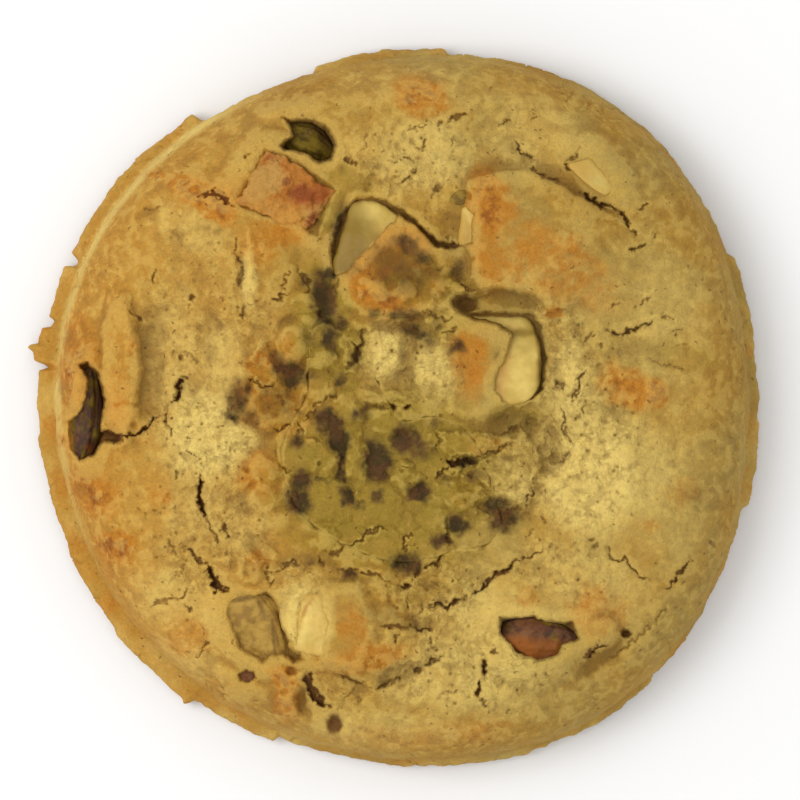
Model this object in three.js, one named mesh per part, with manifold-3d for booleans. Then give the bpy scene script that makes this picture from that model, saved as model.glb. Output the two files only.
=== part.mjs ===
// A baked pistachio cookie lying flat: a thick round of dough on a broken foot of crust, split
// into ledges and crevices round a sunk middle where pistachio cream has welled up, with lumps
// of white chocolate and pistachio kernels showing in the pockets that they baked into.
// Frame: millimetres, +Z up, the origin on the table under the middle of the cookie. +Y is the
// far side and +X the right side of someone who looks down on it.
import * as THREE from "three";
import { mergeVertices } from "three/addons/utils/BufferGeometryUtils.js";
import Module from "manifold-3d";

const wasm = await Module();
wasm.setup();

// ---------------------------------------------------------------- driving dimensions
const DOME_RADIUS = 44.1; // mean plan radius of the risen dough
const RING_HEIGHT = 19.6; // table to the top of the dough, before its middle sank
const FOOT_HEIGHT = 4.2; // table to the crease between the dough and its foot
const FOOT_BULGE = 2.1; // height at which the foot reaches furthest out
const EDGE_ROUND = 1.5; // how far the foot's lower edge is rounded in
const DOME_FLATNESS = 4.6; // exponent along the radius: higher is flatter on top
const DOME_SHOULDER = 2.3; // exponent along the height: higher is squarer at the shoulder
const CLEARANCE = 0.3; // gap between pieces that lie in each other
const DOUGH_RINGS = 28; // rings of the dough's top, about 1.9 mm apart
const CREAM_RINGS = 9;
const CREAM_DEPTH = 3; // below its rim, in the middle
const CREAM_RIM = 0.6; // thickness of the cream at its rim
const CREAM_RADIUS = 12.4;
const CREAM_MIDDLE = [-1.5, -8];
const CREAM_SINK = 0.5; // how far the cream lies below the dough round it
const TABLE_CLEAR = 60; // height of the cutter that opens the dough over the cream

// The outline isn't a circle. Each swell adds `rise` on `lobes` sides, the first facing `facing`
// degrees.
const OUTLINE_SWELLS = [
  { lobes: 1, rise: 1.5, facing: 11 },
  { lobes: 2, rise: 0.3, facing: 101 },
  { lobes: 3, rise: 0.8, facing: 55 },
  { lobes: 4, rise: 0.5, facing: 48 },
];

// The foot is crust that spread on the baking tray and broke. Each plate reaches out past the
// dough.
const FOOT_REACH = 0.4;
const FOOT_PLATES = [
  { from: 83, to: 103, reach: 1.0 },
  { from: 104, to: 123, reach: -0.2 },
  { from: 125, to: 154, reach: 1.7 },
  { from: 157, to: 165, reach: 2.0 },
  { from: 167, to: 170, reach: 2.6 },
  { from: 171, to: 172, reach: 3.0 },
  { from: 174, to: 240, reach: 2.4 },
  { from: 241, to: 249, reach: 1.6 },
  { from: 250, to: 313, reach: 0.8 },
  { from: 345, to: 384, reach: 1.2 },
];

// Raised and sunk fields of the crust: an ellipse at `at` with half axes `half`, turned by `turn`
// degrees, `rise` high, and `soft` as the share of its radius over which the edge runs out.
const FIELDS = [
  { at: [-1, -6], half: [24, 21], turn: 0, rise: -2.6, soft: 0.75 }, // the sunk middle
  { at: [19, 20.5], half: [13.5, 7.6], turn: -28, rise: 1.7, soft: 0.2 }, // browned ledge at the far right
  { at: [-34.8, 3.5], half: [2.9, 8.5], turn: 4, rise: 1.6, soft: 0.4 }, // ridge by the left kernel
  { at: [-26, 10], half: [6.6, 13], turn: 0, rise: -2.0, soft: 0.25 }, // sunk field beside the ridge
  { at: [-26, 26], half: [7, 3.4], turn: -14, rise: 0.8, soft: 0.5 }, // browned brow of that field
  { at: [-15.5, 15], half: [4, 7], turn: 5, rise: 0.9, soft: 0.4 }, // lumps between field and middle
  { at: [-16, 4], half: [4.6, 4.6], turn: 0, rise: 1.3, soft: 0.5 }, // browned lump left of the cream
  { at: [-19, -9], half: [5.4, 7], turn: 8, rise: 1.3, soft: 0.4 }, // crumbly shoulder below it
  { at: [-6.5, -27.5], half: [8, 6.8], turn: 12, rise: 2.3, soft: 0.3 }, // lump over the near chocolate
  { at: [23, -20.5], half: [8.5, 6.5], turn: -20, rise: 0.9, soft: 0.45 }, // smooth plate, lower right
  { at: [31.5, 2.5], half: [6, 4], turn: 0, rise: 0.9, soft: 0.7 }, // browned bump at the right
  { at: [-14.5, -35.5], half: [3.4, 4.4], turn: 10, rise: 1.2, soft: 0.5 }, // lumps near the lower rim
  { at: [20, 5], half: [3.4, 8], turn: 0, rise: -1.1, soft: 0.5 }, // valley right of the chocolate
  { at: [2, 4], half: [6, 4], turn: 0, rise: 1.5, soft: 0.5 }, // crumb heaped in the middle
  { at: [25.2, -27.6], half: [3.6, 2.6], turn: 34, rise: 0.8, soft: 0.4 }, // lump beside the near kernel
  { at: [24, -31], half: [7, 2.6], turn: 28, rise: -1.4, soft: 0.6 }, // shaded dip below it
  { at: [6, 31], half: [9, 5.5], turn: -15, rise: -0.8, soft: 0.5 }, // crumbly field at the far side
];

// Crevices run from one end to the other, bowed to their left by `bow`, with the width and depth
// in their middle.
const CREVICES = [
  { from: [13.5, 31.3], to: [30, 21.6], bow: 0.9, width: 1.9, depth: 2.4 }, // over the browned ledge
  { from: [-36.8, -2.4], to: [-29.6, -1.4], bow: -0.8, width: 1.4, depth: 2.0 },
  { from: [-28.2, 0], to: [-26, 4.6], bow: 0.3, width: 1.5, depth: 2.2 },
  { from: [-24.9, -8.3], to: [-24, -13.6], bow: 0.3, width: 1.5, depth: 2.4 },
  { from: [-24.8, -18.2], to: [-20.6, -23.4], bow: -0.4, width: 1.7, depth: 2.6 },
  { from: [-11, -32.4], to: [-8.4, -38], bow: -0.4, width: 1.8, depth: 2.2 },
  { from: [-10.5, -32.8], to: [1.2, -33.4], bow: -0.8, width: 1.5, depth: 1.6 }, // under the near lump
  { from: [4.8, -24.8], to: [18.8, -17.6], bow: -0.9, width: 1.5, depth: 2.0 },
  { from: [-9.4, -20], to: [5.8, -18.6], bow: -2.4, width: 1.3, depth: 1.5 },
  { from: [12.6, -29.6], to: [10, -35.6], bow: -0.4, width: 1.4, depth: 1.8 },
  { from: [26, 10.4], to: [32.2, 10.9], bow: -1.1, width: 1.5, depth: 1.8 },
  { from: [21.8, 0.5], to: [20.4, -8], bow: 0.8, width: 1.4, depth: 1.4 },
  { from: [25, -17], to: [31.4, -21.2], bow: -0.3, width: 1.3, depth: 1.3 },
  { from: [22.4, -31.6], to: [27.6, -27.6], bow: -0.7, width: 1.7, depth: 1.8 },
];

// Holes in the crust over a sunk piece, and where a bubble broke.
const PITS = [
  { at: [-11.1, 33.4], half: [4.1, 3.1], turn: -20, rise: -4.6, soft: 0.35 }, // over the far kernel
  { at: [-7.7, -39.4], half: [1.7, 1.7], turn: 0, rise: -2.6, soft: 0.5 },
  { at: [9.8, 13.6], half: [3.6, 1.6], turn: -6, rise: -3.2, soft: 0.5 }, // cave by the right chocolate
  { at: [28.2, -28], half: [1.0, 0.8], turn: 0, rise: -1.6, soft: 0.5 },
];

// Pieces in the dough: `size` is length, width and height, `turn` and `tilt` are degrees, `proud`
// is how far the piece's middle lies above the dough's surface (negative is sunk), and `slack`
// widens its pocket towards the side where the dough pulled away.
const CHOCOLATE = {
  chocolate_far: {
    at: [-1.8, 19.4], size: [11.4, 9.8, 7], turn: -34, tilt: [3, -5],
    proud: -3.2, slack: [0.5, 0.8],
  },
  chocolate_right: {
    at: [12.4, 6.1], size: [10.8, 11, 7], turn: -3, tilt: [-4, 4],
    proud: -3.1, slack: [0.8, 0.7],
  },
  chocolate_small: {
    at: [9.8, 22.6], size: [3.8, 5.6, 4], turn: 12, tilt: [0, -14],
    proud: -1.8, slack: [-0.3, 0],
  },
  chocolate_near: {
    at: [-10, -27], size: [6.4, 8.8, 6], turn: 24, tilt: [0, 14],
    proud: -2.3, slack: [-0.3, 0.2],
  },
  chocolate_rim: {
    at: [24.1, 29.1], size: [7, 4, 4], turn: -34, tilt: [-10, 16],
    proud: -1.5, slack: [-0.2, -0.3],
  },
};
const CARAMEL = {
  caramel_chunk: {
    at: [-14, 26.9], size: [11.8, 9.4, 7], turn: -27, tilt: [5, -4],
    proud: -2.6, slack: [-0.3, 0.2],
  },
};
const KERNELS = {
  pistachio_far: {
    at: [-11, 33], size: [9, 6, 5], turn: -24, tilt: [0, 0],
    proud: 0.4, slack: [0.5, 0.4],
  },
  pistachio_left: {
    at: [-39, -0.9], size: [12.4, 5.4, 5], turn: 82, tilt: [42, 0],
    proud: -0.9, slack: [0.5, -0.2],
  },
  pistachio_near: {
    at: [17.8, -28.6], size: [11, 6, 5.4], turn: -8, tilt: [0, 0],
    proud: -1.2, slack: [-0.3, 0.3],
  },
  pistachio_pale: {
    at: [-17.2, -27.2], size: [11.6, 7.4, 5.6], turn: -52, tilt: [0, 4],
    proud: -1.4, slack: [0.1, 0.8],
  },
};
const BITS = {
  pistachio_sliver: {
    at: [8.1, 26.4], size: [3, 1.8, 1.8], turn: 14, tilt: [0, 0],
    proud: -0.2, slack: [0, 0],
  },
  nut_bit: {
    at: [-18.7, -33.3], size: [2.8, 2, 1.8], turn: -8, tilt: [0, 0],
    proud: -0.3, slack: [0, 0],
  },
};
const BLOCK_SQUARENESS = 5; // exponent of a chocolate lump's section: 2 is an egg, 10 a box
const CARAMEL_SQUARENESS = 3.6;
const KERNEL_POINT = 0.3; // how much a kernel narrows towards its tip
const KERNEL_SEAM = 0.12; // depth of the groove where its halves meet, as a share of its radius

// ---------------------------------------------------------------- small helpers
const radians = THREE.MathUtils.degToRad;
const smooth = THREE.MathUtils.smoothstep;

// A repeatable number from 0 to 1 for each whole place of a grid.
function gridValue(i, j) {
  const s = Math.sin(i * 127.1 + j * 311.7 + 7.3) * 43758.5453;
  return s - Math.floor(s);
}

// Smooth unevenness from -1 to 1 with humps about `span` mm across.
function uneven(x, y, span) {
  const [u, v] = [x / span, y / span];
  const [i, j] = [Math.floor(u), Math.floor(v)];
  const [a, b] = [smooth(u - i, 0, 1), smooth(v - j, 0, 1)];
  const near = THREE.MathUtils.lerp(gridValue(i, j), gridValue(i + 1, j), a);
  const far = THREE.MathUtils.lerp(gridValue(i, j + 1), gridValue(i + 1, j + 1), a);
  return 2 * THREE.MathUtils.lerp(near, far, b) - 1;
}

// 1 inside a field and 0 outside, running out over its soft edge.
function within(field, x, y) {
  const [dx, dy] = [x - field.at[0], y - field.at[1]];
  const [c, s] = [Math.cos(radians(field.turn)), Math.sin(radians(field.turn))];
  const reach = Math.hypot((dx * c + dy * s) / field.half[0], (dy * c - dx * s) / field.half[1]);
  return 1 - smooth(reach, 1 - field.soft, 1 + field.soft);
}

// How deep a crevice is at a point: a V with round lips that narrows towards both ends.
function cut(crevice, x, y) {
  const [x0, y0] = crevice.from;
  const [lx, ly] = [crevice.to[0] - x0, crevice.to[1] - y0];
  const length = Math.hypot(lx, ly);
  const along = ((x - x0) * lx + (y - y0) * ly) / length ** 2;
  if (along <= 0 || along >= 1) return 0;
  const aside = ((y - y0) * lx - (x - x0) * ly) / length - crevice.bow * 4 * along * (1 - along);
  const taper = Math.sqrt(Math.sin(Math.PI * along));
  return crevice.depth * taper * (1 - smooth(Math.abs(aside), 0, crevice.width * taper));
}

// ---------------------------------------------------------------- the cookie's form
function domeRadius(angle) {
  return OUTLINE_SWELLS.reduce(
    (sum, { lobes, rise, facing }) => sum + rise * Math.cos(lobes * (angle - radians(facing))),
    DOME_RADIUS,
  );
}

// How far the foot reaches past the dough, plate by plate, each with a quick step at its ends.
function footReach(angle) {
  const turn = THREE.MathUtils.euclideanModulo(THREE.MathUtils.radToDeg(angle), 360);
  const step = 1.4;
  return FOOT_PLATES.reduce((sum, { from, to, reach }) => {
    const covers = (t) => smooth(t, from - step, from) * (1 - smooth(t, to, to + step));
    const share = [covers(turn), covers(turn + 360)];
    return sum + (reach - FOOT_REACH) * Math.max(...share);
  }, FOOT_REACH);
}

// Height of the crust over a plan point, with the relief fading out down the side.
function crustHeight(x, y, share) {
  const dome = (1 - share ** DOME_FLATNESS) ** (1 / DOME_SHOULDER);
  const onTop = 1 - smooth(share, 0.88, 1);
  let relief = 0.45 * uneven(x, y, 5.5) + 0.25 * uneven(x + 40, y, 2.6);
  for (const field of [...FIELDS, ...PITS]) relief += field.rise * within(field, x, y);
  for (const crevice of CREVICES) relief -= cut(crevice, x, y);
  return FOOT_HEIGHT + (RING_HEIGHT - FOOT_HEIGHT) * dome + relief * onTop;
}

function shareOut(x, y) {
  return Math.min(1, Math.hypot(x, y) / domeRadius(Math.atan2(y, x)));
}

function surfaceAt([x, y]) {
  return crustHeight(x, y, shareOut(x, y));
}

// Shares of the radius at which the rings lie, evenly spaced along the dome's own section.
function ringShares(rings) {
  const fine = 2000;
  const at = (t) => [
    DOME_RADIUS * Math.sin(t) ** (2 / DOME_FLATNESS),
    (RING_HEIGHT - FOOT_HEIGHT) * Math.cos(t) ** (2 / DOME_SHOULDER),
  ];
  const lengths = [0];
  for (let i = 1; i <= fine; i++) {
    const [r0, z0] = at(((i - 1) / fine) * (Math.PI / 2));
    const [r1, z1] = at((i / fine) * (Math.PI / 2));
    lengths.push(lengths[i - 1] + Math.hypot(r1 - r0, z1 - z0));
  }
  const whole = lengths[fine];
  return Array.from({ length: rings + 1 }, (_, k) => {
    const i = lengths.findIndex((l) => l >= (whole * k) / rings - 1e-9);
    return k === rings ? 1 : Math.sin((i / fine) * (Math.PI / 2)) ** (2 / DOME_FLATNESS);
  });
}

// ---------------------------------------------------------------- closed surfaces from rings
// `rings` is a list of rings of points from the top's middle outwards and down to the underside's
// middle. The first and last hold one point, and neighbouring rings may differ in their number of
// points: the seam between them is filled by always taking the shorter step.
function closedSurface(rings) {
  const points = rings.flat();
  const starts = rings.reduce((list, ring) => [...list, list[list.length - 1] + ring.length], [0]);
  const faces = [];
  for (let k = 0; k + 1 < rings.length; k++) {
    const [n, m] = [rings[k].length, rings[k + 1].length];
    const inner = (i) => starts[k] + (i % n);
    const outer = (j) => starts[k + 1] + (j % m);
    let [i, j] = [0, 0];
    while (i < (n > 1 ? n : 0) || j < (m > 1 ? m : 0)) {
      const stepOut = m > 1 && (n === 1 || i === n || (j + 1) / m <= (i + 1) / n + 1e-9);
      if (stepOut && j < m) faces.push(inner(i), outer(j), outer(++j));
      else faces.push(inner(i), outer(j), inner(++i));
    }
  }
  const geometry = new THREE.BufferGeometry();
  geometry.setAttribute("position", new THREE.Float32BufferAttribute(points.flat(), 3));
  geometry.setIndex(faces);
  return geometry;
}

function ring(count, pointAt) {
  return Array.from({ length: count }, (_, i) => pointAt((i / count) * 2 * Math.PI));
}

// ---------------------------------------------------------------- solids for cutting and joining
function solidOf(geometry) {
  const bare = geometry.clone();
  bare.deleteAttribute("normal");
  bare.deleteAttribute("uv");
  const merged = mergeVertices(bare, 1e-4);
  return new wasm.Manifold(
    new wasm.Mesh({
      numProp: 3,
      vertProperties: new Float32Array(merged.attributes.position.array),
      triVerts: new Uint32Array(merged.index.array),
    }),
  );
}

function geometryOf(solid) {
  const mesh = solid.getMesh();
  const geometry = new THREE.BufferGeometry();
  geometry.setAttribute("position", new THREE.BufferAttribute(mesh.vertProperties, 3));
  geometry.setIndex(new THREE.BufferAttribute(mesh.triVerts, 1));
  geometry.computeVertexNormals();
  return geometry;
}

// The largest body of a solid, so that no loose scrap of a cut stays.
function largestBody(solid) {
  return solid.decompose().reduce((best, body) => (body.volume() > best.volume() ? body : best));
}

// ---------------------------------------------------------------- dough
function doughGeometry() {
  const shares = ringShares(DOUGH_RINGS);
  const columns = 6 * DOUGH_RINGS;
  const rings = shares.map((share, k) =>
    k === 0
      ? [[0, 0, crustHeight(0, 0, 0)]]
      : ring(6 * k, (angle) => {
          const radius = share * domeRadius(angle);
          const [x, y] = [radius * Math.cos(angle), radius * Math.sin(angle)];
          return [x, y, crustHeight(x, y, share)];
        }),
  );
  const footRing = (reachShare, inset, z) =>
    ring(columns, (angle) => {
      const radius = domeRadius(angle) + reachShare * footReach(angle) - inset;
      return [radius * Math.cos(angle), radius * Math.sin(angle), z];
    });
  rings.push(
    footRing(0.75, 0.1, FOOT_HEIGHT - 0.7),
    footRing(1, 0, FOOT_BULGE),
    footRing(1, EDGE_ROUND / 4, FOOT_BULGE / 3),
    footRing(1, EDGE_ROUND, 0),
    [[0, 0, 0]],
  );
  return closedSurface(rings);
}

// ---------------------------------------------------------------- pistachio cream in the middle
// The pool's own outline: two long sides, an arm between the chocolate and the lumps on its
// left, a bay where crumb is heaped, and a short arm to the lower right.
function creamRadius(angle) {
  const swell = (facing, width, rise) => {
    const off = THREE.MathUtils.euclideanModulo(angle - radians(facing) + Math.PI, 2 * Math.PI) - Math.PI;
    return rise * Math.exp(-((off / radians(width)) ** 2));
  };
  const sides = CREAM_RADIUS + 1.6 * Math.cos(2 * (angle - radians(155)));
  return sides + swell(113, 14, 9) + swell(72, 22, -3.6) + swell(-28, 14, 3);
}

// One solid of the pool, grown by `grow` all round, with its top raised by `lift`.
function creamGeometry(grow, lift) {
  const [cx, cy] = CREAM_MIDDLE;
  const place = (angle, share, extra) => {
    const radius = share * (creamRadius(angle) + extra);
    return [cx + radius * Math.cos(angle), cy + radius * Math.sin(angle)];
  };
  const topHeight = ([x, y]) => surfaceAt([x, y]) - CREAM_SINK + 0.25 * uneven(x, y, 3.1) + lift;
  const rings = [];
  for (let k = 0; k <= CREAM_RINGS; k++) {
    const share = k / CREAM_RINGS;
    rings.push(
      ring(Math.max(1, 6 * k), (angle) => {
        const plan = place(angle, share, grow);
        return [...plan, topHeight(place(angle, share, 0))];
      }),
    );
  }
  const underRings = 4;
  for (let k = underRings; k >= 0; k--) {
    const share = k / underRings;
    const under = CREAM_DEPTH * Math.sqrt(1 - share ** 2) + CREAM_RIM + grow;
    rings.push(
      ring(Math.max(1, Math.round(6 * CREAM_RINGS * share)), (angle) => {
        const plan = place(angle, share, grow);
        return [...plan, topHeight(place(angle, share, 0)) - lift - under];
      }),
    );
  }
  return closedSurface(rings);
}

// ---------------------------------------------------------------- lumps and kernels
// Small pieces get fewer faces than large ones.
function ball(size) {
  return new THREE.IcosahedronGeometry(1, Math.round(THREE.MathUtils.clamp(size[0] / 3.5, 1, 3)));
}

// A round-cornered block: the sphere |x|^e + |y|^e + |z|^e = 1, stretched to its size, with
// uneven faces.
function blockGeometry(size, squareness, grow) {
  const geometry = ball(size);
  const position = geometry.attributes.position;
  const p = new THREE.Vector3();
  for (let i = 0; i < position.count; i++) {
    p.fromBufferAttribute(position, i);
    const powers = p.toArray().map((v) => Math.abs(v) ** squareness);
    const norm = (powers[0] + powers[1] + powers[2]) ** (1 / squareness);
    const hump = 1 + 0.05 * uneven(p.x * 2 + p.z + size[0], p.y * 2 - p.z, 0.9);
    p.multiplyScalar(hump / norm);
    position.setXYZ(i, ...p.toArray().map((v, axis) => v * (size[axis] / 2 + grow)));
  }
  return geometry;
}

// A kernel: an egg that narrows to a blunt tip, with a groove along the seam of its halves.
function kernelGeometry(size, grow) {
  const geometry = ball(size);
  const position = geometry.attributes.position;
  for (let i = 0; i < position.count; i++) {
    const [x, y, z] = [position.getX(i), position.getY(i), position.getZ(i)];
    const narrow = 1 - KERNEL_POINT * smooth(x, -0.2, 1);
    const seam = grow > 0 ? 1 : 1 - KERNEL_SEAM * Math.exp(-((y / 0.16) ** 2)) * (z > 0 ? 1 : 0);
    position.setXYZ(
      i,
      x * (size[0] / 2 + grow),
      y * (size[1] / 2 + grow) * narrow,
      z * (size[2] / 2 + grow) * narrow * seam,
    );
  }
  return geometry;
}

// Puts a piece's geometry where it lies: tilted, turned, and sunk into the dough. `aside` moves it
// in plan.
function laid(geometry, { at, turn, tilt, proud }, aside) {
  const placing = new THREE.Matrix4().makeRotationZ(radians(turn));
  placing.multiply(new THREE.Matrix4().makeRotationY(radians(tilt[1])));
  placing.multiply(new THREE.Matrix4().makeRotationX(radians(tilt[0])));
  placing.setPosition(at[0] + aside[0], at[1] + aside[1], surfaceAt(at) + proud);
  return geometry.applyMatrix4(placing);
}

// The hole for a piece: grown by the clearance, and further on the side where it has slack.
function pocketGeometry(shape, piece) {
  const [dx, dy] = piece.slack.map((v) => v / 2);
  return laid(shape(piece.size, CLEARANCE + Math.hypot(dx, dy)), piece, [dx, dy]);
}

const blockShape = (squareness) => (size, grow) => blockGeometry(size, squareness, grow);
const SHAPES = [
  { pieces: CHOCOLATE, shape: blockShape(BLOCK_SQUARENESS), colour: 0xd4b75f, roughness: 0.4 },
  { pieces: CARAMEL, shape: blockShape(CARAMEL_SQUARENESS), colour: 0xb37f41, roughness: 0.6 },
  { pieces: KERNELS, shape: kernelGeometry, colour: 0x5e4931, roughness: 0.5 },
  { pieces: BITS, shape: kernelGeometry, colour: 0x7f7a24, roughness: 0.5 },
];

// ---------------------------------------------------------------- putting it together
const cookie = new THREE.Group();

function addPiece(name, solid, colour, roughness) {
  const material = new THREE.MeshStandardMaterial({ color: colour, roughness, metalness: 0 });
  const mesh = new THREE.Mesh(geometryOf(solid), material);
  mesh.name = name;
  cookie.add(mesh);
}

const pieces = SHAPES.flatMap(({ pieces: group, shape, colour, roughness }) =>
  Object.entries(group).map(([name, piece]) => ({
    name,
    colour,
    roughness,
    solid: solidOf(laid(shape(piece.size, 0), piece, [0, 0])),
    pocket: solidOf(pocketGeometry(shape, piece)),
  })),
);

let dough = solidOf(doughGeometry()).subtract(solidOf(creamGeometry(CLEARANCE, TABLE_CLEAR)));
let cream = solidOf(creamGeometry(0, 0));
for (const [i, piece] of pieces.entries()) {
  dough = dough.subtract(piece.pocket);
  cream = cream.subtract(piece.pocket);
  for (const other of pieces.slice(i + 1)) other.solid = other.solid.subtract(piece.pocket);
}

addPiece("dough", largestBody(dough), 0xc29a50, 0.85);
addPiece("pistachio_cream", largestBody(cream), 0x917730, 0.5);
for (const { name, solid, colour, roughness } of pieces) {
  addPiece(name, largestBody(solid), colour, roughness);
}

export default cookie;
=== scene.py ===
# %% [markdown]
# # A pistachio cookie, rebuilt on its solid model
# The solid model holds the plain forms in their real sizes. This lesson dresses it: a cracked,
# browned dough, a pool of pistachio cream, lumps of white chocolate and pistachio kernels.
# The first lines load the solids as a fixed frame, so that every new piece goes where they lie.

# %% Load the frame
import itertools
import math

import bpy
import numpy as np
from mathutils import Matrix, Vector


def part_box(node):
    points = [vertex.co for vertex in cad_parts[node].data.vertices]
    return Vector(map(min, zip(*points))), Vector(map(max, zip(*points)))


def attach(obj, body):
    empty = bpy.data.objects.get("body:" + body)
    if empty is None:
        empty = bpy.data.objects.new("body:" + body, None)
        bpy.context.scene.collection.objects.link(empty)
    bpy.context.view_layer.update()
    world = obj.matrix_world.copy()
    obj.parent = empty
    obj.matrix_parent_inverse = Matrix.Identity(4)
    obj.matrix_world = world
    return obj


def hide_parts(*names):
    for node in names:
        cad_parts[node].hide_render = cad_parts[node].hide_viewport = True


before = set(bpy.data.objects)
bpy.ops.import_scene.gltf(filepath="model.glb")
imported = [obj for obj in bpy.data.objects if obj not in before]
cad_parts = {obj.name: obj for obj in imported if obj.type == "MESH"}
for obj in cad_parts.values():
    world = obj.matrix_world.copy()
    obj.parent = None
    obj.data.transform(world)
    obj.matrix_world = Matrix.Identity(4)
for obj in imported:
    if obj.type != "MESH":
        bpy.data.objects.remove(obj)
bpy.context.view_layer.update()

# %% [markdown]
# ## Units and a few curves
# A cookie is easiest to think of in millimetres. All sizes below are in millimetres, and only
# the last step before the mesh turns them into metres. Nearly every edge on food is soft, so
# one S-shaped step is used everywhere.

# %% Units and steps
MM = 0.001


def step(value, low, high):
    """0 below `low`, 1 above `high`, and an S curve t*t*(3-2t) between them."""
    t = np.clip((value - low) / (high - low), 0, 1)
    return t * t * (3 - 2 * t)


def mix(a, b, share):
    """Straight blend from a to b."""
    return a + (b - a) * share


def turned(p, at, turn):
    """Plan points p seen from a spot `at`, in a frame turned by `turn` degrees."""
    c, s = math.cos(math.radians(turn)), math.sin(math.radians(turn))
    dx, dy = p[:, 0] - at[0], p[:, 1] - at[1]
    return dx * c + dy * s, dy * c - dx * s


# %% [markdown]
# ## Unevenness
# Dough is uneven at every size: lumps of a centimetre, crumbs of a millimetre, sandy grain.
# Gradient noise gives smooth humps of one size: each whole place of a grid gets a slope, and the
# slopes are blended. Adding it at halved sizes and heights makes natural roughness. Scattered
# centres give the other pattern that baking makes: plates with cracks between them.

# %% Gradient noise and scattered cells
SHUFFLE = np.random.default_rng(11).permutation(256)
TURNS = np.random.default_rng(12).normal(size=(256, 3))
TURNS /= np.linalg.norm(TURNS, axis=1)[:, None]
SPOTS = np.random.default_rng(13).random((256, 2))


def hashed(places):
    """A repeatable number from 0 to 255 for each whole place, by a chain of shuffles."""
    h = np.zeros(len(places), dtype=np.int64)
    for column in places.T:
        h = SHUFFLE[(h + column) & 255]
    return h


def waves(p, span, seed=0):
    """Humps about `span` across, from -1 to 1: slopes at the grid's corners, blended by quintic weights."""
    q = p / span + seed * 17.31
    low = np.floor(q).astype(np.int64)
    f = q - low
    s = f * f * f * (f * (f * 6 - 15) + 10)
    total = np.zeros(len(p))
    for corner in itertools.product((0, 1), repeat=p.shape[1]):
        c = np.array(corner)
        slope = TURNS[hashed(low + c)][:, : p.shape[1]]
        total += np.prod(np.where(c, s, 1 - s), axis=1) * np.sum(slope * (f - c), axis=1)
    return 1.7 * total


def rough(p, span, octaves, seed=0):
    """Noise at halved spans and heights, added up."""
    return sum(waves(p, span / 2**k, seed + k) / 2**k for k in range(octaves))


def cells(p, span, seed=0):
    """Distances to the nearest and second nearest of scattered centres, one to a square of `span`."""
    q = p / span + seed * 5.17
    low = np.floor(q).astype(np.int64)
    near = np.full(len(p), 9.0)
    second = np.full(len(p), 9.0)
    for offset in itertools.product((-1, 0, 1), repeat=2):
        place = low + np.array(offset)
        d = np.linalg.norm(place + SPOTS[hashed(place)] - q, axis=1)
        second = np.minimum(second, np.maximum(near, d))
        near = np.minimum(near, d)
    return near * span, second * span


probe = np.random.default_rng(1).random((2000, 2)) * 40
print("noise spread:", waves(probe, 3).std().round(3), "cell size:", cells(probe, 3)[0].mean().round(3))

# %% [markdown]
# ## The outline and the side
# Seen from above the cookie is nearly round: four gentle swells turn the circle into its real
# outline. Seen from the side it is a flat-topped dome, (1 - r^a)^(1/b), that stands on a foot of
# crust. The foot spread on the tray and broke, so it reaches out plate by plate.

# %% Outline and foot
DOME_RADIUS, RING_HEIGHT, FOOT_HEIGHT, FOOT_BULGE, EDGE_ROUND = 44.1, 19.6, 4.2, 2.1, 1.5
DOME_FLATNESS, DOME_SHOULDER = 4.6, 2.3
OUTLINE_SWELLS = [(1, 1.5, 11), (2, 0.3, 101), (3, 0.8, 55), (4, 0.5, 48)]  # lobes, rise, facing
FOOT_REACH = 0.4  # where there is no plate
FOOT_PLATES = [  # from degrees, to degrees, reach past the dome's outline
    (83, 103, 1.0), (104, 123, -0.2), (125, 154, 1.7), (157, 165, 2.0), (167, 170, 2.6), (171, 172, 3.2),
    (174, 234, 2.4), (235, 249, 1.6), (250, 313, 0.8), (345, 384, 1.2),
]


def dome_radius(angle):
    """Mean radius plus rise * cos(lobes * (angle - facing)) for each swell."""
    return DOME_RADIUS + sum(r * np.cos(n * (angle - math.radians(f))) for n, r, f in OUTLINE_SWELLS)


def foot_reach(angle, ragged=0.0):
    """Reach of the plate at each angle, with a quick step of 1.4 degrees at its ends."""
    turn = np.degrees(angle) % 360 + ragged
    reach = np.full_like(turn, FOOT_REACH)
    for low, high, out in FOOT_PLATES:
        share = [step(t, low - 1.4, low) * (1 - step(t, high, high + 1.4)) for t in (turn, turn + 360)]
        reach += (out - FOOT_REACH) * np.maximum(*share)
    return reach


def share_out(p):
    """How far out a plan point lies: 0 in the middle, 1 on the dome's outline."""
    return np.hypot(p[:, 0], p[:, 1]) / dome_radius(np.arctan2(p[:, 1], p[:, 0]))


# %% [markdown]
# ## Shapes to build the relief from
# The crust is described as a baker would point at it: soft mounds and hollows, plates with a
# ragged edge, crevices that run from here to there. Three small tools measure how far a point
# lies inside an ellipse, from a many-sided outline, and from a bent line.

# %% Ellipses, outlines and lines
def mound(p, at, half, turn=0, soft=0.5):
    """1 inside an ellipse and 0 outside; the edge runs out over `soft` of its radius."""
    u, v = turned(p, at, turn)
    return 1 - step(np.hypot(u / half[0], v / half[1]), 1 - soft, 1 + soft)


def inside(p, corners):
    """Distance to a closed outline, positive inside and negative outside, by edges and crossings."""
    corners = np.array(corners, dtype=float)
    near = np.full(len(p), 1e9)
    odd = np.zeros(len(p), dtype=bool)
    for a, b in zip(corners, np.roll(corners, -1, axis=0)):
        edge, away = b - a, p - a
        t = np.clip((away @ edge) / (edge @ edge), 0, 1)
        near = np.minimum(near, np.linalg.norm(away - t[:, None] * edge, axis=1))
        crosses = (a[1] > p[:, 1]) != (b[1] > p[:, 1])
        x = a[0] + (p[:, 1] - a[1]) * edge[0] / (edge[1] if edge[1] else 1e-9)
        odd ^= crosses & (p[:, 0] < x)
    return np.where(odd, near, -near)


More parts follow.
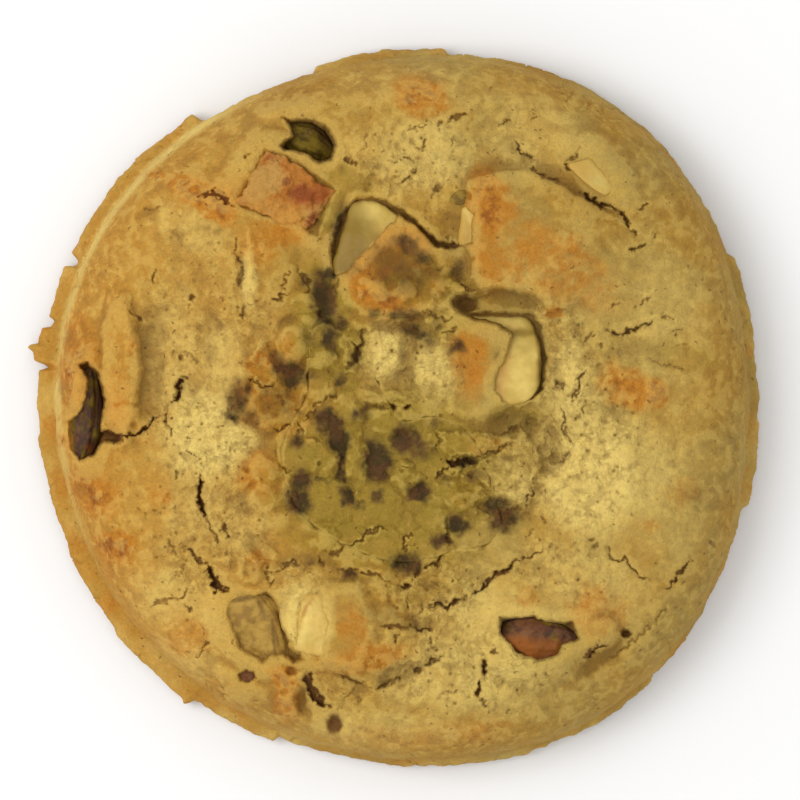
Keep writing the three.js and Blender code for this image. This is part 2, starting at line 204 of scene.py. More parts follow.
def along(p, points):
    """For each point: distance to a bent line, share of its length 0 to 1, and side (+ is left)."""
    points = np.array(points, dtype=float)
    lengths = np.linalg.norm(np.diff(points, axis=0), axis=1)
    near, share, side = np.full(len(p), 1e9), np.zeros(len(p)), np.ones(len(p))
    for k, (a, b) in enumerate(zip(points, points[1:])):
        edge, away = b - a, p - a
        t = np.clip((away @ edge) / (edge @ edge), 0, 1)
        d = np.linalg.norm(away - t[:, None] * edge, axis=1)
        closer = d < near
        near = np.where(closer, d, near)
        share = np.where(closer, (lengths[:k].sum() + t * lengths[k]) / lengths.sum(), share)
        side = np.where(closer, np.sign(edge[0] * away[:, 1] - edge[1] * away[:, 0]), side)
    return near, share, side


def near_box(p, corners, margin):
    """Index of the points close to a feature, so that a small feature costs little."""
    low, high = np.min(corners, axis=0) - margin, np.max(corners, axis=0) + margin
    return np.flatnonzero(np.all((p > low) & (p < high), axis=1))


# %% [markdown]
# ## Mounds, plates, steps and crevices
# These are the forms of the top, each placed by where it lies in millimetres. The first list
# holds the solid model's mounds and hollows and adds smaller ones. Plates stand up with a broken
# edge, steps are drops on one side of a line, and crevices open where the crust tore. A list of
# named forms is longer than a noise, but only a list puts each form where the cookie has it.

# %% Mounds and hollows
MOUNDS = [  # at, half axes, turn, rise, soft
    ((-1, -6), (24, 21), 0, -2.6, 0.75),  # the sunk middle
    ((-27, 8), (5.6, 9.5), -6, -1.5, 0.45),  # sunk field by the left ridge
    ((-25, 20), (5.5, 3.2), -20, -0.7, 0.6),
    ((-22, -2.5), (4.2, 7.5), -12, 0.9, 0.6),  # pale crumb that rises from the field
    ((-33, -17), (6, 8), 20, 0.6, 0.6),
    ((-24, 27), (5, 2.4), -20, 0.9, 0.6),
    ((-31, 24.6), (1.2, 1.2), 0, -0.8, 0.7),
    ((-22, 19), (2.2, 1.6), 0, 0.4, 0.7),
    ((-15.6, 16.6), (2.9, 4.4), 5, 0.9, 0.4),
    ((-13.3, 8), (2.1, 2.4), 0, 1.1, 0.4), ((-16.6, 4.6), (1.8, 2.2), 20, 1.0, 0.4),
    ((-19.3, 4), (0.9, 1.2), 0, 0.5, 0.5), ((-16, 0.4), (3.3, 2.6), -15, 1.2, 0.4),
    ((-20, -9), (1.7, 1.7), 0, 0.7, 0.4), ((-16.7, -8), (1.7, 2.2), 10, 1.0, 0.4),
    ((-16.6, -11.2), (1.8, 1.5), 0, 0.8, 0.4), ((-16, -14), (2.4, 1.5), 0, 0.6, 0.5),
    ((-18.4, -20.2), (1.9, 2.0), 0, 1.0, 0.35), ((-15.9, -18), (0.9, 0.8), 0, 0.5, 0.4),
    ((-13.3, -22.3), (2.6, 2.4), 0, 0.8, 0.5),
    ((-34.5, 5.2), (2.4, 9), 2, 1.7, 0.2), ((-33.4, -1.6), (1.9, 1.8), 0, 0.4, 0.4),
    ((-30.4, 5.6), (1.8, 5.6), 0, -0.9, 0.85), ((17, 20), (9, 7), -28, 0.7, 0.8),
    ((-18.4, 17.4), (0.8, 4), 0, 0.8, 0.6), ((-14.7, -33), (0.9, 1.0), 0, 0.9, 0.5),
    ((-13.9, -35.2), (1.5, 1.6), 0, 1.3, 0.5), ((-13.8, -37.4), (1.4, 1.5), 0, 1.3, 0.5),
    ((-3, 14.2), (2.3, 2), 0, 0.8, 0.4), ((1, 14), (1.6, 1.8), 0, 0.7, 0.4),
    ((-0.8, 18), (6, 5.4), 20, 1.5, 0.4),
    ((-4.6, -27), (7, 6.4), 12, 2.5, 0.45),  # mound over the near chocolate
    ((20, -21.5), (8.5, 4.6), -20, 1.0, 0.45), ((14.4, -22.8), (3, 2.2), 30, 0.5, 0.5),
    ((25.8, -28), (2.0, 1.9), 30, 1.5, 0.35), ((25, -31.2), (3, 1.4), 25, -0.9, 0.6),
    ((30, 2.6), (4.6, 3), -10, 1.0, 0.6), ((32.4, 1.8), (1.6, 1.5), 0, 0.4, 0.6),
    ((28, -8), (7, 8), 0, 0.5, 0.6), ((35, 6.4), (5, 1.4), -14, -0.35, 0.6),
    ((13.2, -9), (3.7, 3.4), 0, 1.0, 0.4),  # pale lump right of the cream
    ((18.6, -4.6), (2.2, 3.4), 20, -1.6, 0.5), ((19.2, 5.5), (1.6, 5), 0, -1.2, 0.6),
    ((14.8, -1.2), (3.2, 1.9), 10, -1.1, 0.5), ((22.5, 12.6), (2, 1), -10, -0.3, 0.6),
    ((-1.8, 7), (2.5, 2.9), 0, 1.0, 0.3), ((4.2, 2.6), (2.2, 3.8), 0, 0.7, 0.45),
    ((6.4, 7.4), (1.9, 2.2), 0, 0.6, 0.5), ((8, 1), (2.4, 3.4), 0, 0.5, 0.5),
    ((-4.6, 36.5), (5, 5.4), 10, 0.9, 0.6), ((2.6, 39.4), (4, 2.4), -10, 0.5, 0.6),
    ((3.5, 31), (4.4, 4.6), -20, -0.3, 0.6), ((6.6, 22.8), (1.5, 2.4), 10, -0.6, 0.6),
    ((-8.0, 25.2), (1.5, 3.4), -15, -1.2, 0.6), ((12.6, 13.1), (5.0, 1.6), 1, -1.7, 0.3),
    ((-4, 29), (3.6, 2), -10, -1.0, 0.6), ((24.6, 29.6), (2.4, 3.0), -35, 0.5, 0.5),
    ((-7.2, -34.8), (2.3, 1.5), -8, 0.3, 0.3), ((0.4, -33), (3, 1.2), 22, -0.8, 0.6),
    ((5, -38), (9, 4), 0, 0.4, 0.6), ((-11.7, -36.4), (0.9, 2), 10, -1.1, 0.5),
    ((22, 28), (7, 1.5), -36, -1.1, 0.7), ((37, -10.6), (2.3, 2.1), 0, 0.35, 0.4),
    ((-41, 3.6), (1.8, 3.6), 0, 0.7, 0.4),
]
print("mounds and hollows:", len(MOUNDS))

# %% Lumps of the cream
LUMPS_OF_CREAM = [  # at, half axes, turn, rise
    ((-10.6, -2.4), (1.6, 1.2), 0, 0.6), ((-11, -5.6), (2.7, 2.1), 10, 0.7), ((-8.5, -6.9), (1.2, 1.5), 0, 0.6),
    ((-5.2, -5.4), (1.1, 3.6), 4, 0.7), ((-8.1, -11.5), (3.0, 2.1), -10, 0.7), ((-2, -12), (2.7, 2.3), 0, 0.6),
    ((0.9, -8.4), (1.5, 1.6), 0, 0.8), ((-0.4, -1.6), (2.8, 1.5), -12, 0.6), ((-6, 0.1), (1.5, 1.8), 0, 0.6),
    ((-2, 1.7), (2.4, 0.8), -8, 0.4), ((-13.8, -5), (1.2, 1.9), 0, 0.5), ((-13.8, -10), (0.9, 1.8), 0, 0.4),
    ((-5.4, -17.7), (2.7, 1.6), 20, 0.5), ((-1.6, -17), (2.2, 1.9), 0, 0.5),
    ((3.6, -17.2), (2.4, 1.7), 20, 0.6), ((4.8, -13.9), (1.8, 1.6), 0, 0.5),
    ((-8.8, -16.3), (1.6, 1.3), 20, 0.5), ((7.9, -10.7), (2.2, 1.9), 0, 0.9),
    ((7.6, -7.6), (1.1, 0.6), 0, 0.4), ((5.2, -11.3), (1.5, 1.3), 0, 0.5), ((8.6, -4.5), (3.6, 1.4), -5, 1.0),
    ((-6, 6.8), (1.1, 1.8), 0, 0.6), ((-9.4, 5.9), (1.4, 1.4), 0, 0.7), ((-9.2, 2.6), (1.3, 1.5), 0, 0.6),
    ((-6.6, 12.9), (1.7, 1.8), 0, 0.7), ((5.6, 13.2), (1.4, 1.1), 0, 0.7), ((7, 14.9), (1.9, 0.7), -10, 0.6),
    ((-11.4, 13), (1.6, 1.4), 0, 0.5), ((-12, 10.6), (1.4, 1.2), 0, 0.5), ((1.2, -14.6), (1.4, 1.4), 0, 0.4),
    ((-4.6, 10.8), (3, 0.7), 0, 0.4), ((4.6, 11), (1.1, 0.8), 0, 0.4), ((9.4, -15.5), (2.4, 1.6), 20, 0.5),
]
print("lumps of cream:", len(LUMPS_OF_CREAM))

# %% Plates with a broken edge, and steps
LEDGES = [  # outline, rise, width of the broken edge, fade: along (x, y), from, to
    ([(8.8, 28.6), (8.7, 27.2), (9.4, 26), (9.8, 24.4), (9.4, 23.4), (9.8, 22.4), (9.6, 20.8), (9, 20.2),
      (9.6, 18.6), (9.2, 16.2), (10.5, 15), (14, 14.9), (17.4, 14.2), (19, 12.4), (21.6, 12.6), (24.4, 13.8),
      (28, 16.5), (30, 19), (29.9, 21.2), (28.4, 23.3), (25.4, 25), (23.6, 25.9), (20.6, 27.8), (18.5, 28.7),
      (16, 29.8), (12.6, 29.6)], 1.8, 0.7, (0.8, -0.6), 3, 11),
    ([(5, -2.8), (12.6, -3.0), (14.6, -3.9), (13.2, -4.9), (11, -5.8), (6.6, -6.0), (5.2, -4.8)], 0.6, 0.5,
     (0, 1), 9, 10),
    ([(15.4, -2.4), (17.5, -4.8), (18.1, -7), (17, -8.6), (17, -11), (15.8, -12.2), (12.5, -11), (9.8, -8.4),
      (10, -6.4), (12.8, -5.4), (14.4, -4.2)], 0.8, 0.5, (0, 1), 9, 10),
    ([(-41.8, 7), (-42.6, 4), (-42.4, 1.6), (-41, 0), (-39.8, -0.1), (-38.7, 1.4), (-38.8, 3.2), (-40, 4.4),
      (-39.8, 6.4)], 1.3, 0.7, (0, 1), 5, 8),
]
STEPS = [  # bent line, rise on its left, how far it reaches, width of the edge
    ([(-19.2, 5.2), (-18, 6), (-16.8, 7.5), (-15.3, 9), (-14.8, 10.2), (-13.8, 11.6), (-11.8, 12)], 0.7, 2.0,
     0.4),
    ([(-2.7, -35.2), (-3.8, -34.4), (-5, -33.9), (-6.2, -33.3), (-8, -32.7), (-9.6, -32.3), (-11.2, -32.8)],
     -0.9, 2.0, 0.4),
    ([(-2.7, -35.3), (-1, -34.3), (0.3, -33.6), (1.7, -33), (3.4, -32.3), (4.2, -31.8), (6, -30.6)], -0.6,
     1.6, 0.4),
    ([(22.3, -31.6), (23.3, -31.2), (24.3, -30.2), (25.2, -29.7), (27.4, -29), (28, -27.6)], 1.1, 1.6, 0.4),
    ([(35, -2.4), (35.1, -5), (34.9, -8)], 0.3, 2.0, 0.5),
    ([(4, -24.5), (6.2, -24.7), (8.6, -23.4), (10.2, -22.3), (12, -20.9), (14, -20.1), (15.1, -18.9),
      (18.4, -17.6)], -0.6, 1.8, 0.3),
    ([(26.3, 10), (27.5, 9.4), (28.8, 9.7), (30.6, 10.3), (32, 10.9)], 0.5, 1.4, 0.4),
    ([(-25.3, -18.2), (-24.6, -19), (-23.3, -20.3), (-22.8, -21.5), (-21.2, -22.6)], 0.5, 1.5, 0.4),
    ([(33.6, -22.4), (34.8, -21.1), (35.8, -19.4), (36.8, -19.1)], 0.4, 1.2, 0.3),
    ([(-6.5, 22.5), (-6.9, 23.6), (-6.2, 25.2), (-5, 26.2), (-4, 26.6), (-2.8, 26.3), (0.5, 25), (2.6, 23.9),
      (4.4, 22.3)], 0.6, 2.4, 0.5),
    ([(-15, 33), (-14.2, 36.6), (-12, 37.2), (-9.4, 35.8), (-7.6, 33.4), (-8.2, 31.2)], 0.5, 2.0, 0.5),
]
print("plates:", len(LEDGES), "steps:", len(STEPS))

# %% Crevices and pits
CREVICES = [  # bent line, width, depth
    ([(16, 30.2), (17.2, 29.7), (18.6, 28.9), (20.2, 28.3)], 0.4, 1.0),
    ([(23, 26.9), (24.4, 26), (25.2, 25.4), (26.4, 25.3)], 0.9, 1.8),
    ([(26.4, 25.4), (27.4, 25), (28.2, 23.9), (29.2, 22.5), (29.9, 21.6)], 0.5, 1.4),
    ([(-37.2, -2.6), (-35.8, -2.9), (-34.8, -3.4), (-33.4, -3.1), (-32, -3.0), (-31.1, -2.2), (-29.9, -0.9)],
     0.55, 2.0),
    ([(-35.6, -3.2), (-34.9, -4.0), (-34.3, -3.8)], 0.9, 1.8),
    ([(-28.6, 0.3), (-28.6, -0.8), (-28.8, -1.5), (-28.3, -2.4), (-28, -3.6)], 0.35, 1.0),
    ([(-28.2, 0.7), (-27.4, 1.3), (-27.3, 2.6), (-27.1, 3.5), (-26, 4.1)], 0.9, 2.6),
    ([(-24.5, -8.4), (-24.4, -9.4), (-24.8, -10.4), (-24.6, -11.4), (-24.2, -12.3), (-24.3, -13.5)], 0.8, 2.6),
    ([(-24, -13.7), (-23.1, -14.3), (-22.8, -15.4), (-22.4, -17.2)], 0.35, 0.9),
    ([(-21.7, -13.8), (-21.6, -15.2), (-21.1, -16.2)], 0.5, 1.2),
    ([(-26.7, -17.2), (-25.4, -17.6), (-25.3, -18.4), (-24.6, -19.1), (-23.7, -19.5)], 0.4, 1.2),
    ([(-23.8, -19.3), (-23.1, -20.4), (-22.8, -21.4), (-22.2, -22.2), (-21, -22.8)], 1.4, 3.0),
    ([(-11.2, -32.6), (-10.9, -34.4), (-10.2, -35.9), (-9.2, -36.9), (-8.4, -37)], 1.7, 2.6),
    ([(-10.7, 22.3), (-10.1, 23.9)], 0.9, 1.8),
    ([(26.4, -31.2), (29, -29.4), (31.6, -27), (34, -24.2)], 0.45, 0.5),
    ([(-7.6, -33), (-6.2, -33.3), (-5, -33.9), (-3.6, -34.4)], 0.45, 1.0),
    ([(-2.8, -34.8), (-1, -34.1), (0.4, -33.5)], 0.5, 0.9),
    ([(2.2, -32.9), (2.8, -32.3)], 0.7, 1.2),
    ([(3.8, -31.8), (4.6, -31.3), (5.9, -30.6)], 0.4, 1.1),
    ([(4, -24.5), (5, -24.4), (6.2, -24.8), (6.9, -24.2), (7.8, -23.5), (8.7, -23.4)], 0.6, 1.8),
    ([(9.2, -23.4), (10.1, -22.7), (11.2, -21.5), (12.6, -20.8), (13.4, -20.3), (14.1, -20.1), (15, -18.9)],
     0.6, 1.8),
    ([(15, -18.9), (16, -18.6), (17, -18.3), (18.4, -17.6)], 0.35, 1.0),
    ([(-9.1, -17.7), (-8.3, -18.1), (-7, -17.9), (-6.4, -17.2)], 0.45, 1.0),
    ([(-6.5, -17.3), (-5.5, -16.5), (-4.4, -16.1), (-3.7, -15.5), (-2.8, -15.2), (-1.4, -14.9)], 0.35, 0.8),
    ([(-9.9, -18.7), (-9.2, -19.5)], 0.8, 1.0),
    ([(-7.5, -20.1), (-6, -20.1), (-4.8, -20.1), (-4, -20.6), (-2.7, -20.5), (-1.2, -21.6)], 0.45, 1.0),
    ([(0, -21.8), (0.8, -22.1), (1.8, -22.1)], 0.6, 1.6),
    ([(2, -21.4), (2.6, -20.3)], 0.6, 1.0),
    ([(3.6, -19.8), (4.6, -19.5), (5.2, -19), (5.7, -18.1)], 0.5, 1.2),
    ([(1.9, -15.3), (1.2, -16), (0.9, -17), (0.9, -17.9)], 0.3, 0.7),
    ([(6.4, -13.6), (6.3, -15.5), (6.5, -17)], 0.4, 0.8),
    ([(6.2, -6.4), (7, -6.7), (8.2, -6.7), (9.6, -6.8)], 0.9, 1.6),
    ([(6.5, -7.2), (5.6, -8), (4.7, -8.8)], 0.45, 1.0),
    ([(7.2, -5.9), (9.4, -5.8), (11.2, -5.7), (12.6, -5.2), (13.4, -4.7), (14.6, -4)], 0.35, 0.8),
    ([(13.1, -3.4), (13.8, -2.8), (14.7, -2.4), (15.1, -2)], 0.4, 0.9),
    ([(-14.9, -7), (-14.2, -7.6), (-12.8, -7.8)], 0.35, 0.6),
    ([(-11.1, -3.6), (-10.3, -3.8), (-9.5, -4)], 0.3, 0.5),
    ([(0.3, -7.6), (1.8, -7.4)], 0.22, 0.4),
    ([(4.8, -2.9), (5.3, -3.8), (5, -5)], 0.3, 0.6),
    ([(-4.1, 0.8), (-2.6, 0.3), (-1, 0.1), (0.3, 0.3)], 0.3, 0.6),
    ([(0.8, 0.2), (2, 0.3)], 0.6, 1.6),
    ([(-10.4, 0.3), (-9.5, 1.1), (-8.7, 1.5), (-7.3, 1.6)], 0.35, 0.9),
    ([(-15.2, -2.6), (-14, -2.4), (-13.2, -1.9)], 0.5, 1.0),
    ([(-11.4, -1.3), (-10.8, -0.7), (-10, 0)], 0.3, 0.6),
    ([(-12.6, -1.6), (-12, -2.4), (-11.8, -3)], 0.4, 0.8),
    ([(-18.6, 3.7), (-17.3, 3.3), (-16.7, 2.7), (-15.8, 2.9), (-15.2, 3.3)], 0.35, 1.0),
    ([(-15, 1.8), (-14.4, 1.3), (-13.7, 0.8)], 0.25, 0.5),
    ([(-15.9, 13.3), (-14.8, 13.8), (-13.5, 14.4)], 0.45, 1.0),
    ([(-14.3, 14.8), (-13.9, 16.2), (-13.6, 17.2)], 0.3, 0.7),
    ([(-12.5, 17.7), (-12.2, 16.7), (-11.2, 16.1), (-10.9, 15.2), (-11.3, 14.4), (-12, 14.5)], 0.35, 0.8),
    ([(-7.3, 16.9), (-7.3, 15.8), (-7.6, 14.2)], 0.35, 0.8),
    ([(-4.1, 10), (-4.3, 8.6), (-5, 7.2), (-5.5, 5.6), (-6.2, 5.2)], 0.55, 1.2),
    ([(-9.6, 12), (-9.5, 11.4)], 0.6, 1.0),
    ([(-19.9, 21.2), (-20.2, 19.6), (-19.8, 18.5), (-19.1, 18.1)], 0.35, 0.9),
    ([(-19.3, 18), (-19.4, 16.6), (-19.6, 15.2)], 0.8, 1.0),
    ([(-18.9, 13.4), (-19.2, 12), (-19.4, 10.6)], 0.4, 0.8),
    ([(-30, 17.6), (-30.3, 16.8), (-30.1, 15.6)], 0.35, 0.9),
    ([(-33.6, 12.3), (-32.5, 11.7), (-31.8, 10.8)], 0.35, 0.9),
    ([(-28.6, 5.9), (-27.6, 7), (-26.4, 7.2), (-25.4, 6.6), (-24.4, 5)], 0.25, 0.4),
    ([(-26.1, -5.1), (-25.2, -5.6), (-24.5, -6)], 0.35, 0.8),
    ([(-26.4, -3.2), (-25.7, -4.3)], 0.3, 0.6),
    ([(-27.4, -7.5), (-27.4, -8.7)], 0.35, 0.8),
    ([(-30.5, -24.9), (-30.1, -24.2), (-29, -24.1), (-28.4, -23.7), (-26.9, -23.6), (-26, -22.5)], 0.3, 0.8),
    ([(-26.3, -24.6), (-25.6, -25.5)], 0.6, 0.9),
    ([(-23.6, -28.9), (-24.3, -29.7), (-24.9, -31)], 0.4, 0.9),
    ([(-28.5, -16), (-28, -16.8), (-27.5, -18.3)], 0.3, 0.6),
    ([(-26.6, -19.3), (-26.9, -20.4), (-28, -20.5)], 0.25, 0.4),
    ([(-15.4, -20.3), (-14.2, -19.9), (-13.7, -19.1), (-12.5, -18.9), (-11.9, -19.6)], 0.35, 0.8),
    ([(-16.3, -19.2), (-15.9, -20.3), (-16.1, -21.2), (-15.8, -21.8), (-15, -21.2)], 0.35, 0.8),
    ([(-19, 31.6), (-18.6, 30.8)], 0.5, 1.0),
    ([(-24.6, 26.5), (-22.8, 26.9), (-21.6, 26.3), (-20.6, 25.5)], 0.8, 1.3),
    ([(-31.6, 25), (-30.2, 24.9), (-29, 25.6)], 0.35, 0.6),
    ([(12.3, -29.8), (11.9, -30.6)], 0.6, 1.2), ([(10.8, -31.2), (11, -32.2), (11, -33.2)], 0.8, 2.0),
    ([(10.4, -33.8), (9.9, -34.9), (10, -35.9)], 0.7, 2.0),
    ([(10.1, -36), (10.9, -36.4), (11.4, -37.2)], 0.35, 0.9),
    ([(5, -36), (6.3, -35.3), (7.3, -35.1), (8.3, -35.4)], 0.22, 0.5),
    ([(1, -24), (1.5, -25.1)], 0.3, 0.7), ([(2.8, -23.8), (2.9, -26)], 0.3, 0.6),
    ([(-1.7, -27.4), (-0.6, -27), (0.4, -27), (1.4, -27.3)], 0.9, 1.0),
    ([(2, -27.3), (3.2, -27.6), (4.6, -27.4)], 0.5, 1.2), ([(0, -28), (-0.2, -29.3)], 0.4, 0.8),
    ([(4.2, -28.6), (4.3, -29.3), (4.9, -30.3)], 0.35, 0.7),
    ([(-7, -36.3), (-5.8, -35.6), (-5.2, -34.6)], 0.25, 0.5), ([(-5.3, -36.9), (-4.6, -36)], 0.25, 0.5),
    ([(26.2, 10), (26.9, 9.6), (27.7, 9.4), (28.6, 9.6), (29.4, 10), (30.8, 10.4), (32, 11)], 0.45, 1.4),
    ([(26.3, 12.3), (27.2, 13), (28.1, 13.3)], 0.25, 0.6),
    ([(29.6, 12.6), (30.6, 13.3), (31.7, 14.1)], 0.3, 0.7),
    ([(32.6, 11.4), (33.6, 11.6), (34.4, 11.2)], 0.25, 0.6),
    ([(33.8, 9.2), (35, 9.7), (35.9, 10.1)], 0.25, 0.6), ([(31, 6.3), (33.4, 5.6), (36.4, 4.8)], 0.25, 0.4),
    ([(34.8, 7.5), (36.2, 8.1)], 0.25, 0.4), ([(23.4, 5.2), (22.9, 4.2), (22.6, 2.8), (21.8, 1)], 0.45, 1.2),
    ([(24.5, 9.6), (23.6, 8.2)], 0.3, 0.7), ([(25.6, 8.3), (25.4, 7.4)], 0.3, 0.6),
    ([(19.8, 3.6), (20.6, 3), (21.4, 2.2)], 0.4, 1.0),
    ([(20.5, 0.2), (20.9, -1), (20.7, -2.8), (21.5, -3.8), (21.9, -4.4)], 0.45, 1.0),
    ([(21.6, -5), (21.2, -5.9), (20.7, -6.4), (20.4, -7.2)], 0.4, 1.0),
    ([(23.4, 0.4), (22.9, -0.5), (22, -1.4)], 0.3, 0.7),
    ([(17, -8.2), (16.9, -9.5), (17.1, -10.5), (16.3, -11), (15.8, -12.1)], 0.4, 1.0),
    ([(15.6, -12.4), (14.4, -12.6)], 0.3, 0.6), ([(17, -14.7), (16.3, -16)], 0.3, 0.6),
    ([(18.1, -13), (18.1, -14.3)], 0.3, 0.5),
    ([(25.8, -17.2), (26.5, -18), (27.2, -18.8), (27.9, -19), (28.3, -18.6), (28.9, -19.3), (30.1, -20.8),
      (31.4, -21.4)], 0.35, 1.0),
    ([(33.6, -22.4), (34.6, -21.3), (35.2, -20.4), (35.8, -19.4), (36.8, -19.1)], 0.55, 1.2),
    ([(39, -16.5), (39.8, -17), (41, -17.3)], 0.5, 0.9), ([(28.8, -34.9), (29.7, -33.4)], 0.3, 0.7),
    ([(23, -31), (24.3, -30.2), (25.2, -29.7), (26.8, -29.2)], 0.7, 1.6),
    ([(16.9, -33), (17.6, -33.8), (18, -34.6)], 0.25, 0.5), ([(8.1, 15.5), (9.1, 15), (9.7, 14.4)], 0.4, 1.0),
    ([(3, 12.3), (4.1, 12.1), (4.4, 11.6), (5.4, 11.3), (6.3, 11.1), (7.3, 11.8)], 0.3, 0.8),
    ([(5.9, 9.5), (6.9, 9.7), (7.3, 10.3)], 0.3, 0.7), ([(4.7, 17.6), (5.5, 17.5)], 0.25, 0.5),
    ([(15, 33.2), (15.1, 32.5), (15.8, 31.8), (16.9, 31.4)], 0.4, 1.2),
    ([(12.6, 35.3), (13.2, 35.8), (14.2, 36.1)], 0.4, 0.8),
    ([(6.5, 35.8), (7.3, 36.4), (8.8, 36.6)], 0.6, 1.0), ([(20.7, 30.7), (21.5, 29.7)], 0.5, 1.0),
    ([(21.4, 30.9), (22.4, 31.5), (22.7, 32.4)], 0.7, 0.9), ([(16.7, 36.1), (17.3, 36.8)], 0.3, 0.7),
    ([(28.8, 19.7), (29.8, 20.1), (31.1, 20.4)], 0.5, 1.2), ([(30, 24.9), (31.2, 25.5)], 0.35, 0.8),
    ([(31.8, 21.4), (32.2, 22)], 0.3, 0.6), ([(5.2, 35.4), (5.5, 36.2)], 0.5, 0.7),
    ([(1, 34.7), (2.6, 34.9), (4.2, 35.6)], 0.25, 0.5), ([(3.3, 33.9), (3.3, 31.6)], 0.35, 0.9),
    ([(3.1, 30.4), (2.4, 29.8), (1.1, 28.8), (0.2, 28)], 0.4, 1.0),
    ([(-1, 30.9), (1.2, 31.2), (2.6, 30.5)], 0.25, 0.6), ([(-6.6, 31.4), (-5.8, 31), (-4.9, 30.5)], 0.9, 1.2),
    ([(6.1, 28.4), (4.6, 27), (4.2, 26)], 0.25, 0.5), ([(-3.6, 34.6), (-3.9, 33), (-4.3, 32)], 0.25, 0.5),
    ([(7.4, 33.8), (6.4, 32.8)], 0.3, 0.5), ([(5.9, 20.3), (7, 20.6), (8.1, 20.4)], 0.9, 1.6),
]
PITS = [  # at, half axes, turn, depth, soft
    ((-7.7, -39.4), (1.0, 1.2), 0, 2.4, 0.5), ((-7.6, -41), (0.7, 0.8), 0, 0.8, 0.6),
    ((28.5, -27.9), (0.6, 0.45), -20, 1.6, 0.5), ((8.5, 13.1), (1.5, 1.0), -10, 1.6, 0.5),
    ((-22.4, -35.5), (1.1, 0.5), -30, 0.7, 0.6), ((-35.7, -3.5), (1.3, 0.6), -14, 2.2, 0.5),
    ((-23.6, -34.8), (0.5, 0.3), -30, 0.5, 0.6), ((-20.9, -36.5), (0.4, 0.25), -30, 0.6, 0.6),
    ((-26.8, 6.4), (0.35, 0.35), 0, 0.8, 0.5), ((-25.6, 13.9), (0.45, 0.25), 30, 0.8, 0.5),
    ((-13, -32.7), (0.7, 0.5), 0, 0.9, 0.6), ((1, 42.8), (0.4, 0.4), 0, 0.4, 0.6),
    ((24.3, -16.2), (0.3, 0.2), 20, 0.5, 0.6), ((24.7, -17.2), (0.35, 0.35), 0, 0.5, 0.6),
    ((-9.7, -6.7), (0.25, 0.3), 0, 0.5, 0.6), ((18.6, -33), (0.2, 0.2), 0, 0.5, 0.6),
    ((-33, 8), (0.2, 0.2), 0, 0.2, 0.6),
]
print("crevices:", len(CREVICES), "pits:", len(PITS))

# %% [markdown]
# ## Where the pieces show
# A lump of chocolate or a kernel lies in the dough and shows only in part. Two lists say how the
# dough meets it. A cover is dough that baked over the piece: it stays above the piece's top. A
# pocket is where the dough is open, down past the piece's top, with a ragged edge. The solid
# model says where each piece lies, so both are measured from its box. A pocket's wall gets painted
# shade, and a wide open pocket lets light in, so a third list says how dark that painted shade is.

# %% Covers and pockets
COVERS = [  # node, outline, rise over the piece's top, width of the edge
    ("chocolate_far", [(0.5, 24.6), (-2.2, 21.4), (-5.2, 19.2), (-6.4, 17.4), (-6.7, 14.4), (-4.2, 12.1),
                       (0, 11.4), (4.2, 12.8), (5.6, 16), (5.2, 19.8), (3, 22.8)], 0.3, 1.3),
    ("chocolate_right",
     [(6.4, 11.2), (9.4, 11), (13.4, 10.2), (14.8, 9.2), (14.6, 7.6), (14, 6), (13, 4.4), (12.6, 2.4),
                         (13.2, 0.8), (10.5, -0.8), (6.8, 0)], 0.1, 1.6),
    ("chocolate_near", [(-9, -22.4), (-8.2, -25.6), (-9, -31.4), (-5, -32), (-3, -27), (-5, -22.4)], 0.15, 1.5),
    ("chocolate_small", [(9.6, 26.2), (9.2, 24.2), (9.8, 22.4), (9.5, 20.4), (13.6, 19), (14, 26)], 0.15, 1.4),
]
